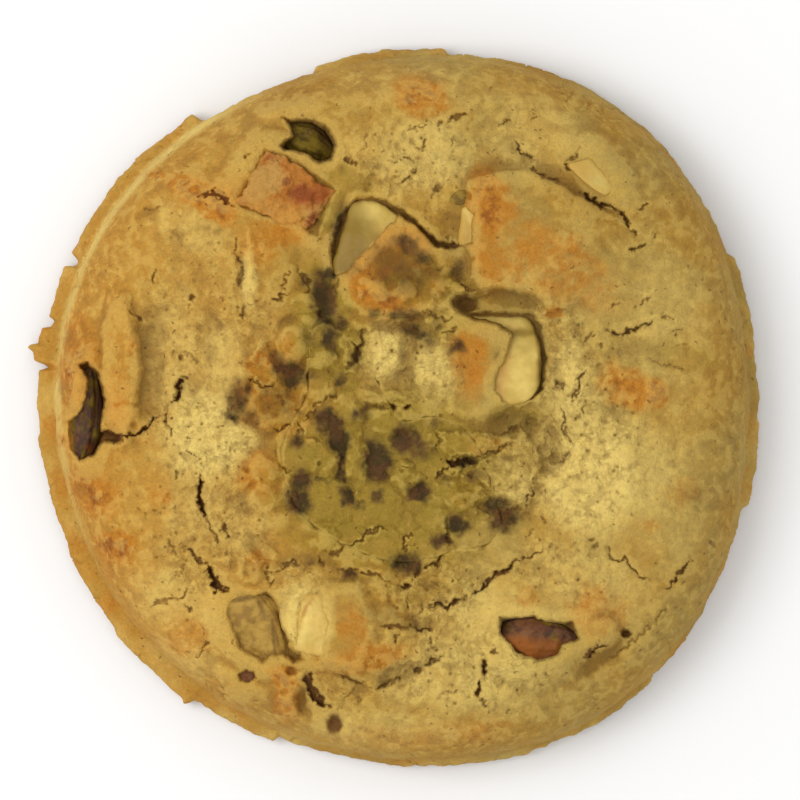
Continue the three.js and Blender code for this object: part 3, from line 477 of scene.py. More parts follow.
POCKETS = [  # node, outline, drop under the piece's top, width of the wall, level of the dough beside it
    ("chocolate_far",
     [(-5.2, 26.4), (-2.6, 26.5), (0.8, 25.1), (2.9, 23.2), (5.2, 21), (7.3, 20.9), (7.4, 19.9),
                       (4.6, 20), (2.4, 22.6), (0.3, 24), (-1.6, 22), (-4, 19.4), (-6, 17), (-8, 16.4),
                       (-8.5, 19.6), (-7.4, 24)], 2.6, 0.6, -9),
    ("chocolate_right", [(8, 12.3), (16.8, 12.2), (18.3, 10.4), (18.9, 6), (18.4, 2.4), (16.8, 1), (13.2, 0.9),
                         (12.1, 2.4), (12.4, 4.4), (13.4, 6.2), (13.9, 8), (14.2, 9.3), (12.6, 10.2),
                         (9.4, 11)], 3.2, 0.6, -9),
    ("chocolate_small", [(8, 25.5), (9.8, 24.6), (9.5, 22), (9.8, 20.4), (7.4, 20.2), (6.9, 23)], 1.5, 0.8, -9),
    ("chocolate_near", [(-13, -30.2), (-12.2, -24.4), (-10, -22.6), (-8.2, -26.6), (-9.4, -30.6)], 2.4, 1.2,
     -1.3),
    ("chocolate_rim", [(21.4, 31.2), (24.4, 31.4), (26.6, 28.4), (26.7, 26.6), (25, 26.7), (22.6, 29.2)], 1.4,
     1.0, -1.0),
    ("caramel_chunk", [(-16.6, 32.7), (-14, 31.9), (-10.6, 29.9), (-7.6, 27.5), (-8.7, 24.4), (-9.8, 21.4),
                       (-11.2, 21.6), (-12, 23), (-15, 23.4), (-19.6, 25), (-20.1, 26.1), (-18.3, 29.6)], 1.7,
                       0.7, -1.2),
    ("pistachio_far",
     [(-14.6, 36.4), (-13, 36.2), (-10.4, 36.3), (-8.4, 35), (-7.3, 32.8), (-7.9, 31), (-9.6, 30.4),
                       (-11.4, 31.5), (-14.2, 32.1), (-14.8, 33), (-13.2, 34.2), (-13.6, 35.4)], 2.2, 0.7, 0.7),
    ("pistachio_left",
     [(-39.8, 5.4), (-38.4, 5.8), (-37, 4.4), (-36.3, 1.4), (-36.6, -1), (-36.8, -2.6), (-34.6, -3.2),
                        (-34.8, -4.2), (-36.6, -4.4), (-37.6, -6), (-39.6, -6.7), (-41.2, -4.8), (-41.2, -1.4),
                        (-39.6, -0.2), (-38.7, 1.6), (-38.8, 3.4)], 2.6, 0.5, 0.3),
    ("pistachio_near",
     [(12.7, -27.8), (12.8, -25.9), (15, -25.9), (17, -25.7), (18.4, -26.4), (22.2, -26.4), (22.9, -28.8),
                        (20.8, -29.6), (20, -31), (17.6, -31.6), (14.8, -30.5), (13.5, -29)], 2.2, 0.5, 0.4),
    ("pistachio_pale", [(-21.4, -25.2), (-20.6, -23.8), (-19.2, -23), (-17.8, -23.4), (-16.4, -22.6),
                        (-14.9, -23.6), (-14.3, -25.2), (-14, -27), (-12.6, -29.4), (-11.4, -31.2),
                        (-12.8, -31.9), (-14.3, -31), (-15.4, -31.1), (-16.6, -31.8),
                        (-18.2, -30.9), (-19.8, -30), (-20.4, -28), (-21, -26.8)], 2.4, 0.8, -0.7),
    ("pistachio_sliver", [(6.9, 25.8), (7.4, 26.8), (9.2, 26.9), (9.5, 26), (8.2, 25.5)], 0.4, 0.6, -9),
    ("nut_bit",
     [(-19.9, -33.2), (-19, -32.4), (-17.8, -32.8), (-17.4, -33.6), (-18.4, -34.1), (-19.6, -33.9)], 0.8, 0.3,
     0.2),
]
SHADED = {  # how dark the painted shade on the wall of a pocket is; a node that isn't named here has 1
    "chocolate_rim": 0, "pistachio_sliver": 0, "chocolate_near": 0.1, "chocolate_small": 0.4,
    "caramel_chunk": 0.25, "pistachio_pale": 0.6,
}
FILM = ((12, 5.4), (3.2, 5.8), 0, 0.3)  # at, half axes, turn, soft: thin dough over the right chocolate, where the pocket's painted shade is mostly left off


def solid_box(node):
    """Lowest and highest corner of a node, in millimetres."""
    return [np.array(corner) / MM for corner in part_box(node)]


TOP_OF = {node: solid_box(node)[1][2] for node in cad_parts}
print("tops:", {node: round(float(z), 1) for node, z in TOP_OF.items()})

# %% [markdown]
# ## Height of the dough
# The dome comes first, then the named forms, then roughness that is strong in the torn middle
# and weak on the smooth outer ring. The place is shifted by a little noise before each edge is
# measured, which breaks every edge as crumb breaks.

# %% Height of the dough
def shifted(p, size, span, seed):
    """Points pushed about by noise, `size` far, in humps of `span`."""
    return p + size * np.stack([rough(p, span, 3, seed), rough(p, span, 3, seed + 5)], axis=1)


CRUMB = [  # at, half axes, turn, how rough
    ((-24, -3), (7, 7), 0, 1.0), ((-26, 10), (7, 11), -6, 0.55), ((-25, 21), (6, 4), -20, 0.5),
    ((-25, -16), (7, 9), -20, 0.7), ((-34, -14), (6, 10), 20, 0.35), ((1, 5), (8, 6.5), 0, 1.0),
    ((13, -9), (7, 5), 0, 1.0), ((23, -3), (8, 13), 0, 0.85), ((31, -8), (5, 9), 0, 0.45),
    ((2, 31), (9, 6.5), -10, 0.75), ((13, 34), (7, 4), -30, 0.45), ((3, -24), (9, 5), 20, 1.0),
    ((8, -33), (12, 7), 0, 0.75), ((21, -21), (8, 5), -20, 0.7), ((-3, -38), (8, 4), 0, 0.45),
    ((-18, 13), (3, 10), 0, 0.7), ((-13, -22), (4, 4), 0, 0.7), ((-19, -16), (4, 5), 0, 0.8),
    ((19, 8), (5, 6), 0, 0.9), ((31, 12), (5, 5), 0, 0.35), ((-5, -28), (6, 6), 0, 0.4),
    ((16, 20), (8, 7), -28, 0.25), ((-35, 17), (6, 6), 0, 0.3), ((-16, 3), (5, 9), 0, 0.5),
    ((7, 15), (5, 3), 0, 0.6), ((-22, -29), (5, 4), 0, 0.4),
]


def torn(p):
    """How torn the crust is: 1 in open crumb, a little everywhere, hardly at all in the cream."""
    crumb = np.max([strength * mound(p, at, half, turn, 0.45) for at, half, turn, strength in CRUMB], axis=0)
    return np.maximum(crumb, 0.12) * (1 - 0.75 * mound(p, (-3.5, -8.5), (12.5, 11.5), 0, 0.25))


def line_step(p, line, rise, reach, edge):
    """Up on the line's left and down on its right, fading with exp(-distance/reach) and towards its ends."""
    d, share, side = along(p, line)
    s = np.clip(side * d / edge, -1, 1)
    across = 0.5 * rise * s * (1.5 - 0.5 * s * s)
    return across * np.exp(-d / reach) * step(share, 0, 0.15) * (1 - step(share, 0.85, 1))


def pillow(p, at, half, turn):
    """A round-topped lump, 1 - r^2 inside an ellipse."""
    u, v = turned(p, at, turn)
    return np.clip(1 - (u / half[0]) ** 2 - (v / half[1]) ** 2, 0, 1)


def forms(p, ragged, fine):
    """Mounds, plates and steps added up, and the highest of the cream's pillows on top."""
    h, swell = np.zeros(len(p)), np.zeros(len(p))
    broken, loose = (ragged + fine) / 2, ragged + 0.6 * (ragged - p)
    for at, half, turn, rise, soft in MOUNDS:
        here = near_box(p, [np.subtract(at, np.max(half)), np.add(at, np.max(half))], 2 + soft * np.max(half))
        h[here] += rise * mound(ragged[here], at, half, turn, soft)
    for at, half, turn, rise in LUMPS_OF_CREAM:
        half = 1.4 * np.array(half)
        here = near_box(p, [np.subtract(at, np.max(half)), np.add(at, np.max(half))], 2)
        swell[here] = np.maximum(swell[here], 1.5 * rise * pillow(loose[here], at, half, turn))
    for outline, rise, edge, toward, start, end in LEDGES:
        here = near_box(p, outline, 3)
        fade = 1 - step(p[here] @ np.array(toward), start, end)
        h[here] += rise * fade * step(inside(broken[here], outline), -edge / 2, edge / 2)
    for line, rise, reach, edge in STEPS:
        here = near_box(p, line, 4 * reach)
        h[here] += line_step(broken[here], line, rise, reach, edge)
    return h + swell


def cobbles(p, span, seed):
    """Rounded lumps with sharp creases between: 1 - (distance to the nearest centre / 0.7 span)^2."""
    return 1 - (cells(p, span, seed)[0] / (0.7 * span)) ** 2


def roughness_of_crust(p, ragged):
    """Lumps of two sizes, sandy noise and pores where the crust is torn, and where its seams and pores get
    painted shade.
    """
    tear = torn(p)
    lumpy = 0.43 * (cobbles(ragged, 2.9, 2) - 0.5) + 0.2 * (cobbles(shifted(p, 0.3, 1, 25), 1.25, 4) - 0.5)
    pores = step(0.26 - cells(p, 2.4, 6)[0], 0, 0.16)
    seams = step(-lumpy, 0.2, 0.5)
    h = 0.55 * rough(p, 6, 3, 21) + lumpy * np.clip(0.85 + 0.7 * rough(p, 7, 2, 23), 0.3, 1.5)
    h += 0.18 * rough(p, 1.2, 3, 31) - 0.35 * pores
    uneven = tear * h + 0.14 * rough(p, 9, 2, 41) + 0.05 * rough(p, 1.4, 3, 51)
    return uneven, np.maximum(seams, 0.8 * pores) * tear


def torn_open(p, ragged, fine):
    """Depth of the crevices and pits, the height of their lifted lips, and the painted shade in them, darker
    where deeper.
    """
    down, lip, gaps = np.zeros(len(p)), np.zeros(len(p)), np.zeros(len(p))
    beads = np.clip(0.95 + 0.8 * rough(p, 0.9, 2, 61), 0.25, 1.7)
    jagged = shifted(p, 0.42, 0.9, 62) + 0.35 * (ragged - p)
    for line, width, depth in CREVICES:
        here = near_box(p, line, 2.5)
        d, share, side = along(jagged[here], line)
        taper = np.sqrt(np.clip(np.sin(np.pi * np.clip(share, 0.03, 0.97)), 0, 1))
        half = 0.4 * width * taper * beads[here]
        gap = (1 - step(d, half * 0.4, half + 0.14)) * np.minimum(1, 1.5 * taper * beads[here])
        lip[here] += 0.12 * depth * np.exp(-d / 0.9) * taper * (side > 0)
        down[here] = np.maximum(down[here], 0.62 * depth * gap)
        gaps[here] = np.maximum(gaps[here], gap * min(1, 0.3 + 0.35 * depth))
    for at, half, turn, depth, soft in PITS:
        here = near_box(p, [np.subtract(at, 3), np.add(at, 3)], 1)
        gap = mound((ragged[here] + fine[here]) / 2, at, half, turn, soft)
        down[here] = np.maximum(down[here], depth * gap)
        gaps[here] = np.maximum(gaps[here], gap * min(1, 0.2 + 0.3 * depth))
    return down, lip, gaps


def crust(p):
    """Height of the dough: the dome with the forms on it, raised over covers, cut at crevices and pockets.

    Gives back the height, then the painted shade of its cracks, seams and pits and of a pocket's wall,
    0 to 1, and its lift over the plain dome in millimetres.
    """
    ragged, fine = shifted(p, 0.55, 2.6, 3), shifted(p, 0.22, 0.9, 8)
    broken = (ragged + 2 * fine) / 3
    share = np.minimum(share_out(p), 1)
    fade = 1 - step(share, 0.88, 1)
    uneven, seams = roughness_of_crust(p, ragged)
    down, lip, crack_shade = torn_open(p, ragged, fine)
    lift = forms(p, ragged, fine) + uneven + lip
    z = dome_height(share) + lift * fade
    for node, outline, drop, wall, brim in POCKETS:
        here = near_box(p, outline, 5)
        beside = 1 - step(-inside(p[here], outline), 0.5, 4.2)
        z[here] += beside * np.clip(TOP_OF[node] + brim - z[here], 0, 2.4)
    for node, outline, rise, edge in COVERS:
        here = near_box(p, outline, 2)
        over = np.maximum(z[here], TOP_OF[node] + rise + 0.5 * uneven[here])
        z[here] = mix(z[here], over, step(inside(broken[here], outline), -edge, 0.2))
    z -= down * fade
    pocket = np.zeros(len(p))
    bare = 1 - 0.85 * mound(p, *FILM)
    for node, outline, drop, wall, brim in POCKETS:
        here = near_box(p, outline, 2)
        gap = step(inside(broken[here], outline), -0.1, wall)
        z[here] = mix(z[here], np.minimum(z[here], TOP_OF[node] - drop), gap)
        # Painted shade on the pocket's wall.
        pocket[here] = np.maximum(pocket[here], gap * bare[here] * SHADED.get(node, 1))
    return z, np.maximum(crack_shade, 0.4 * seams), pocket, lift


def dome_height(share):
    """(1 - share^flatness)^(1/shoulder), from the crease at the foot up to the top."""
    rise = np.clip(1 - share**DOME_FLATNESS, 0, 1) ** (1 / DOME_SHOULDER)
    return FOOT_HEIGHT + (RING_HEIGHT - FOOT_HEIGHT) * rise


# %% [markdown]
# ## The pool of cream
# Pistachio cream welled up in the sunk middle and baked there. Its outline is a plain curve
# round a middle point with an arm to the far side. The dough gives way inside that outline, and
# the cream's own surface carries on at the same height, so the two meet in a broken line.

# %% Outline of the cream
CREAM_MIDDLE, CREAM_RADIUS = np.array([-1.5, -8.0]), 12.4
CREAM_SWELLS = [(113, 14, 9.0), (72, 22, -3.6), (-28, 14, 3.0)]  # facing, width, rise
CREAM_BED = 1.6  # how far the dough gives way under the cream


def cream_radius(angle):
    """Two long sides, and a bell-shaped swell or bay for each entry."""
    radius = CREAM_RADIUS + 1.6 * np.cos(2 * (angle - math.radians(155)))
    for facing, width, rise in CREAM_SWELLS:
        off = (angle - math.radians(facing) + np.pi) % (2 * np.pi) - np.pi
        radius = radius + rise * np.exp(-((off / math.radians(width)) ** 2))
    return radius


def cream_share(p):
    """0 in the middle of the pool, 1 on its outline."""
    away = p - CREAM_MIDDLE
    return np.linalg.norm(away, axis=1) / cream_radius(np.arctan2(away[:, 1], away[:, 0]))


def dough_height(p):
    """The crust's height, less CREAM_BED inside the cream's outline."""
    under = 1 - step(cream_share(shifted(p, 0.8, 2.4, 27)), 0.86, 0.97)
    return crust(p)[0] - CREAM_BED * under


def cream_height(p):
    """The crust's height with soft lumps, dipping under the dough at the pool's outline."""
    z = crust(p)[0] + 0.12 * rough(p, 2.6, 2, 28)
    return z - 1.2 * step(cream_share(p), 0.93, 1.0)


# %% [markdown]
# ## The dough's mesh
# A grid of rings works well for a round thing when ring k has 6k points: all faces are then
# nearly alike, with no crowd of slivers in the middle. The rings follow the dome's own section
# by length, then run down over the crease and the foot and close under the cookie.

# %% Rings and bands of faces
RINGS = 300
FOOT_ROWS = 25
UNDERSIDE = (0.9, 0.75, 0.55, 0.3)  # shares of the foot's lowest row, inwards under the cookie


def ring_shares(count):
    """Shares of the radius that lie evenly along the dome's section."""
    t = np.linspace(0, np.pi / 2, 4001)
    r = DOME_RADIUS * np.sin(t) ** (2 / DOME_FLATNESS)
    z = (RING_HEIGHT - FOOT_HEIGHT) * np.cos(t) ** (2 / DOME_SHOULDER)
    length = np.concatenate([[0], np.cumsum(np.hypot(np.diff(r), np.diff(z)))])
    return np.interp(np.linspace(0, length[-1], count + 1), length, r / DOME_RADIUS)


def disc_faces(rings):
    """Triangles between rings of 6k points: one pointing out per outer edge, one pointing in per inner edge."""
    faces = []
    start = lambda k: 0 if k == 0 else 1 + 3 * k * (k - 1)  # number of the first point of ring k
    for k in range(rings):
        sector, i = [a.ravel() for a in np.meshgrid(np.arange(6), np.arange(k + 1), indexing="ij")]
        inner = lambda n: start(k) + (sector * k + n) % max(6 * k, 1)
        outer = lambda n: start(k + 1) + (sector * (k + 1) + n) % (6 * (k + 1))
        faces.append(np.stack([inner(i), outer(i), outer(i + 1)], axis=1))
        keep = i < k
        faces.append(np.stack([inner(i), outer(i + 1), inner(i + 1)], axis=1)[keep])
    return np.concatenate(faces)


def band_faces(first, second, count):
    """Two triangles for each of `count` steps between two rings with the same number of points."""
    i = np.arange(count)
    j = (i + 1) % count
    return np.concatenate([np.stack([first + i, second + i, second + j], axis=1),
                           np.stack([first + i, second + j, first + j], axis=1)])


def ring_points(shares, radius_at):
    """Plan points of rings of 6k points, ring k at shares[k] of the outline's radius, and their shares."""
    rings = range(1, len(shares))
    angle = np.concatenate([[0.0]] + [np.arange(6 * k) / (6 * k) * 2 * np.pi for k in rings])
    share = np.concatenate([[0.0]] + [np.full(6 * k, shares[k]) for k in rings])
    radius = share * radius_at(angle)
    return np.stack([radius * np.cos(angle), radius * np.sin(angle)], axis=1), share


# %% Points of the dough
def dough_points():
    """Top rings by share, then rows down the foot and under it, each point as (x, y, z) in millimetres."""
    plan, _ = ring_points(ring_shares(RINGS), dome_radius)
    top = np.column_stack([plan, dough_height(plan)])
    around = np.arange(6 * RINGS) / (6 * RINGS) * 2 * np.pi
    dome = dome_radius(around)
    unit = np.stack([np.cos(around), np.sin(around)], axis=1)
    jag = waves(unit * 60, 1.7, 71)
    reach = foot_reach(around, 0.7 * jag) + 0.13 * rough(unit * 44, 1.7, 3, 72)
    rows = []
    for t in np.linspace(0, 2, FOOT_ROWS + 1)[1:]:  # out to the bulge until 1, then in and down to the tray
        if t < 1:
            r, low = dome + reach * np.sin(t * np.pi / 2), FOOT_HEIGHT + (FOOT_BULGE - FOOT_HEIGHT) * t
        else:
            bend = (t - 1) * np.pi / 2
            r, low = dome + reach - EDGE_ROUND * (1 - np.cos(bend)), FOOT_BULGE * (1 - np.sin(bend))
        rows.append(np.column_stack([unit * r[:, None], np.full(len(r), low)]))
    lowest = rows[-1][:, :2]
    rows += [np.column_stack([lowest * inward, np.zeros(len(around))]) for inward in UNDERSIDE]
    return np.concatenate([top, *rows, [[0, 0, 0]]]), len(rows)


points, low_rows = dough_points()
count = 6 * RINGS
last_ring = 1 + 3 * RINGS * (RINGS - 1)
bands = [band_faces(last_ring + k * count, last_ring + (k + 1) * count, count) for k in range(low_rows)]
i = np.arange(count)
fan = np.stack([last_ring + low_rows * count + i, np.full(count, len(points) - 1),
                last_ring + low_rows * count + (i + 1) % count], axis=1)
faces = np.concatenate([disc_faces(RINGS), *bands, fan])
print("dough before thinning:", len(points), "points,", len(faces), "triangles")

# %% [markdown]
# ## Roughness down the side
# The side and the foot are crust too. Here the push is outwards from the middle rather than up,
# by noise in three directions, so that it doesn't smear down the wall.

# %% Roughness of the side
def side_cracks(p):
    """1 on thin wandering lines, where noise that is drawn out up the wall passes through nought."""
    drawn = p * np.array([1.0, 1.0, 0.55])
    line = np.exp(-((rough(drawn, 7, 4, 84) / 0.035) ** 2))
    return line * step(rough(p, 9, 2, 85), -0.1, 0.3)


def roughened_side(p):
    """Pushes the side's points outwards by noise and in at the cracks, none under the cookie."""
    away = p[:, :2] / np.maximum(np.linalg.norm(p[:, :2], axis=1), 1e-6)[:, None]
    share = share_out(p[:, :2])
    on_side = step(share, 0.9, 1.0) * step(p[:, 2], 0.3, 1.4)
    push = on_side * (0.24 * rough(p, 5, 3, 81) + 0.1 * rough(p, 1.2, 3, 91) - 0.28 * side_cracks(p))
    out = p.copy()
    out[:, :2] += away * push[:, None]
    return out


points = roughened_side(points)
print("lowest and highest:", points[:, 2].min().round(3), points[:, 2].max().round(2))

# %% [markdown]
# ## From numbers to a mesh
# Numpy arrays go into a mesh whole, by foreach_set, which is far quicker than adding points one
# by one. The rings are finer than the flat parts need, so Decimate then takes away the edges that
# carry the least shape. Masks are stored as one number per point, where a material can read them.

# %% Put a mesh in
def put(name, points, faces):
    """New object at the origin from arrays of points in millimetres and of faces, smooth shaded."""
    mesh = bpy.data.meshes.new(name)
    mesh.vertices.add(len(points))
    mesh.vertices.foreach_set("co", (points * MM).astype(np.float32).ravel())
    mesh.loops.add(faces.size)
    mesh.loops.foreach_set("vertex_index", faces.astype(np.int32).ravel())
    mesh.polygons.add(len(faces))
    mesh.polygons.foreach_set("loop_start", np.arange(len(faces), dtype=np.int32) * faces.shape[1])
    mesh.update(calc_edges=True)
    mesh.validate()
    mesh.shade_smooth()
    piece = bpy.data.objects.new(name, mesh)
    bpy.context.scene.collection.objects.link(piece)
    return piece


def thinned(piece, most):
    """Collapses the least needed edges until at most `most` triangles are left."""
    if len(piece.data.polygons) <= most:
        return piece
    thin = piece.modifiers.new("thin", "DECIMATE")
    thin.ratio = most / len(piece.data.polygons)
    mesh = bpy.data.meshes.new_from_object(piece.evaluated_get(bpy.context.evaluated_depsgraph_get()))
    piece.modifiers.clear()
    piece.data = mesh
    mesh.shade_smooth()
    return piece


def coordinates(piece):
    """The piece's points in millimetres."""
    co = np.empty(len(piece.data.vertices) * 3)
    piece.data.vertices.foreach_get("co", co)
    return co.reshape(-1, 3) / MM


def paint(piece, name, values):
    """One number per point, which a material reads as an attribute."""
    layer = piece.data.attributes.new(name, "FLOAT", "POINT")
    layer.data.foreach_set("value", np.clip(values, 0, 1).astype(np.float32))


DOUGH_TRIANGLES = 195000
dough = thinned(put("dough_crust", points, faces), DOUGH_TRIANGLES)
print("dough:", len(dough.data.vertices), "points,", len(dough.data.polygons), "faces")

# %% [markdown]
# ## Where the crust browned
# High and thin places brown first, torn places stay pale, and the cream colours the crumb that it
# soaked. Lists of soft ellipses say where each of these lies. Every mask is worked out from each
# point's place, so the colours stay in step with the form.

# %% Browned places
BROWNED = [  # at, half axes, turn, strength
    ((0, 16.4), (5.4, 4.6), 0, 1.2), ((-15, 1), (4.4, 4), 0, 0.8), ((-22.4, 26), (2.4, 1.6), -20, 1.3),
    ((11.5, 25.3), (2.8, 4.8), 8, 0.95), ((20, 17.5), (8, 4.2), -28, 0.6), ((13, 18), (4, 3.4), 0, 0.6),
    ((19.6, 12.2), (1.1, 0.6), 0, 1.6), ((29.5, 2.4), (4, 2.4), -8, 0.9), ((32.3, 2.2), (1.4, 1.6), 0, 1.3),
    ((27, 4), (2, 2), 0, 0.6), ((-24.5, 27), (4, 1.6), -25, 1.0), ((-30, 29.2), (1.2, 0.6), -5, 1.5),
    ((-22.4, 24.6), (2.6, 1.2), -30, 1.2), ((-35, -17), (2.2, 1.8), 0, 1.0),
    ((-38, -10.5), (3.2, 2.2), -30, 0.7), ((-41.8, -4), (0.9, 0.7), 0, 1.3), ((-33, 8), (1, 1), 0, 0.7),
    ((3, 39), (3.6, 2.4), -10, 0.95), ((0.5, -41), (8, 1.6), 0, 0.35), ((-17, -8), (3.2, 3), 0, 0.7),
    ((-17, 20.5), (3, 3), 0, 0.6), ((-13.6, 6), (3.2, 2.6), 20, 1.0), ((-14.6, -33), (1.1, 1.2), 0, 0.9),
    ((-13.8, -35.4), (1.7, 3.4), 6, 0.95), ((-4, -31), (5, 1.8), 10, 0.7), ((-13.6, 22), (3, 1.6), 10, 0.8),
    ((-20, 27), (3.4, 2.4), 0, 0.5), ((0.3, 19), (3.6, 3.6), -30, 1.1), ((2.5, 17.5), (2.8, 2.4), 0, 0.8),
    ((-40, 6), (2.2, 5), 0, 0.6), ((-34.8, 1), (1.7, 4), 0, 0.5), ((31.6, -14.6), (1.6, 1), 0, 0.4),
    ((16.4, -23.6), (1.3, 1.6), 0, 0.4), ((25, -25), (4, 3.4), 0, 0.5), ((36.6, -10.4), (2.9, 2), 0, 0.35),
    ((-26, -28.5), (3, 2.6), 0, 0.5), ((8.4, -10.4), (1.9, 1.7), 0, 0.9),
    ((9.8, -4.6), (3.4, 1.2), -4, 0.7), ((9.2, 6), (2.4, 4.4), 0, 0.75), ((-5.5, -27), (2.2, 3), 20, 0.5),
    ((-17, 1), (3.4, 3), 0, 0.75), ((-16.6, 5), (2.2, 2), 0, 0.95), ((-4, 15.5), (2.2, 2.8), 0, 0.9),
    ((9, -40), (6, 2), 10, 0.4), ((-17.5, -18.8), (1.4, 1.4), 0, 0.6), ((-29.6, -11), (1.6, 1.2), 0, 0.5),
]
print("browned places:", len(BROWNED))

# %% Green places, stains and painted shade
CREAM_FIELDS = [  # at, half axes, turn, strength
    ((-14, 2), (5.5, 6.5), 0, 0.5), ((-8, 25), (2, 3.6), -10, 0.7), ((15, -1), (4, 2.4), 0, 0.6),
    ((-1, -9), (14.5, 11.5), 0, 1.0), ((-8.5, 9), (4.6, 9.5), 12, 0.9), ((10, -12), (7, 5), -20, 0.45),
    ((3, 16), (7, 4.2), -20, 0.6), ((2, -21), (8, 4), 0, 0.45), ((-14, 17), (3, 5), 0, 0.35),
    ((5, 11), (5, 3), 0, 0.55), ((35, 7), (6, 2), -12, 0.4), ((12, -17), (6, 4), 20, 0.2),
    ((12.6, 13.2), (5, 1.6), 0, 0.5), ((-6, 28.6), (4.5, 2.4), -15, 0.55), ((-8, 1), (4, 3), 0, 0.5),
]
# Dark spots in the cream, and painted shade in hollows: beside the caramel, by the mound over the near
# chocolate, and in the recess right of the cream.
STAINS_AND_SHADE = [  # at, half axes, turn, strength
    ((-2.4, -6.5), (1.6, 2.2), 8, 1), ((1, -3.9), (1.4, 1.7), 0, 1), ((2.8, -5.2), (1.5, 1.1), 0, 0.75),
    ((-8.6, -1.6), (1.7, 1.3), -20, 0.95), ((-7.3, -3.8), (1.3, 1.5), 10, 1),
    ((-4.6, -0.7), (1.1, 0.8), 10, 0.75), ((-12, -9.2), (1.1, 1.6), 0, 0.9),
    ((-12.4, -11.6), (1.3, 1.7), 30, 1), ((-12.4, -4.2), (0.9, 0.9), 0, 0.75),
    ((-6.2, -10.7), (0.9, 1.1), 30, 0.9), ((-5, -12), (0.8, 0.4), 10, 0.6),
    ((-2.6, -10.9), (0.8, 0.8), 0, 0.85), ((2.6, -10.3), (1.4, 1.0), -20, 0.95),
    ((5.4, -16.4), (1.1, 0.9), -10, 0.9), ((7.8, -14.6), (1.3, 0.9), -10, 0.95),
    ((12.6, -12.2), (1.3, 1.3), 0, 0.95), ((13.3, -14), (1.6, 1.2), 20, 0.95),
    ((1.1, -19.3), (1.7, 1.2), -8, 1), ((-5.8, -20.9), (0.9, 0.6), 0, 0.8), ((-9.1, 13.4), (1.3, 3.2), 8, 1),
    ((0.6, 17.5), (4, 2.6), -25, 0.6), ((-7.4, 23.4), (1.0, 2.6), -18, 0.65),
    ((-2, -25.4), (2.4, 1.2), 0, 0.4), ((2.4, -26.8), (2.6, 1), -8, 0.45), ((15, -1.2), (2.6, 1.2), 0, 0.35),
    ((-9.1, 16.6), (1.3, 0.7), 0, 0.9), ((-8.3, 9), (0.9, 2.0), 0, 0.85), ((-7, 10.5), (0.9, 0.9), 0, 0.8),
    ((-10.9, 9), (0.9, 1.1), 0, 0.5), ((-13.6, 5), (1.7, 1.2), -10, 0.9), ((-12.6, 3.8), (1.7, 1.1), 20, 0.9),
    ((-19.8, 1), (1.3, 2.4), -12, 0.85), ((-18.2, -1.2), (0.9, 1.2), 0, 0.7),
    ((-15, 6.3), (0.8, 0.8), 0, 0.7), ((-7.1, -7), (0.5, 2.4), 0, 0.75),
    ((-9, -8.8), (2.2, 0.35), 0, 0.5), ((8.4, -6.6), (1.6, 0.5), 4, 0.8), ((9.6, -8.3), (1.1, 0.5), 0, 0.6),
    ((6, -8.8), (0.7, 0.5), 0, 0.5), ((1.2, 20.6), (1.3, 1.0), -30, 0.8), ((3, 18.9), (1.6, 0.8), -35, 0.8),
    ((-2, 19.6), (1, 0.8), 0, 0.6), ((4.4, 16.8), (1.4, 1.3), 0, 0.55), ((7.6, 17.2), (0.9, 1.3), 0, 0.6),
    ((-5.4, 17.4), (1, 1), 0, 0.45), ((7.5, 7.7), (1.0, 0.8), 0, 0.75), ((2.4, 9.5), (1.9, 0.8), -20, 0.7),
    ((0.8, 11.8), (1.8, 0.8), 0, 0.8), ((-2.9, 12), (0.8, 0.6), 0, 0.7), ((5, 10.6), (0.8, 0.7), 0, 0.55),
    ((-7.2, 3.9), (0.7, 0.8), 0, 0.7), ((-10.8, -19.2), (0.7, 0.5), 0, 0.5), ((-0.6, -26), (1.2, 1.4), 0, 0.35),
    ((-11.3, 16), (0.8, 0.8), 0, 0.5), ((-12, -0.3), (0.4, 0.6), 0, 0.6), ((1.1, -13.5), (0.8, 0.6), 0, 0.4),
    ((4.7, -1.8), (0.8, 0.7), 0, 0.6), ((-5.4, 6.4), (0.5, 1.8), -25, 0.6),
    ((12.3, 6.8), (0.7, 1.0), 0, 0.45), ((36.8, -10.6), (2.4, 1.5), 0, 0.4), ((-15, 1), (2.4, 2), 0, 0.5),
]
print("green places:", len(CREAM_FIELDS), "stains:", len(STAINS_AND_SHADE))

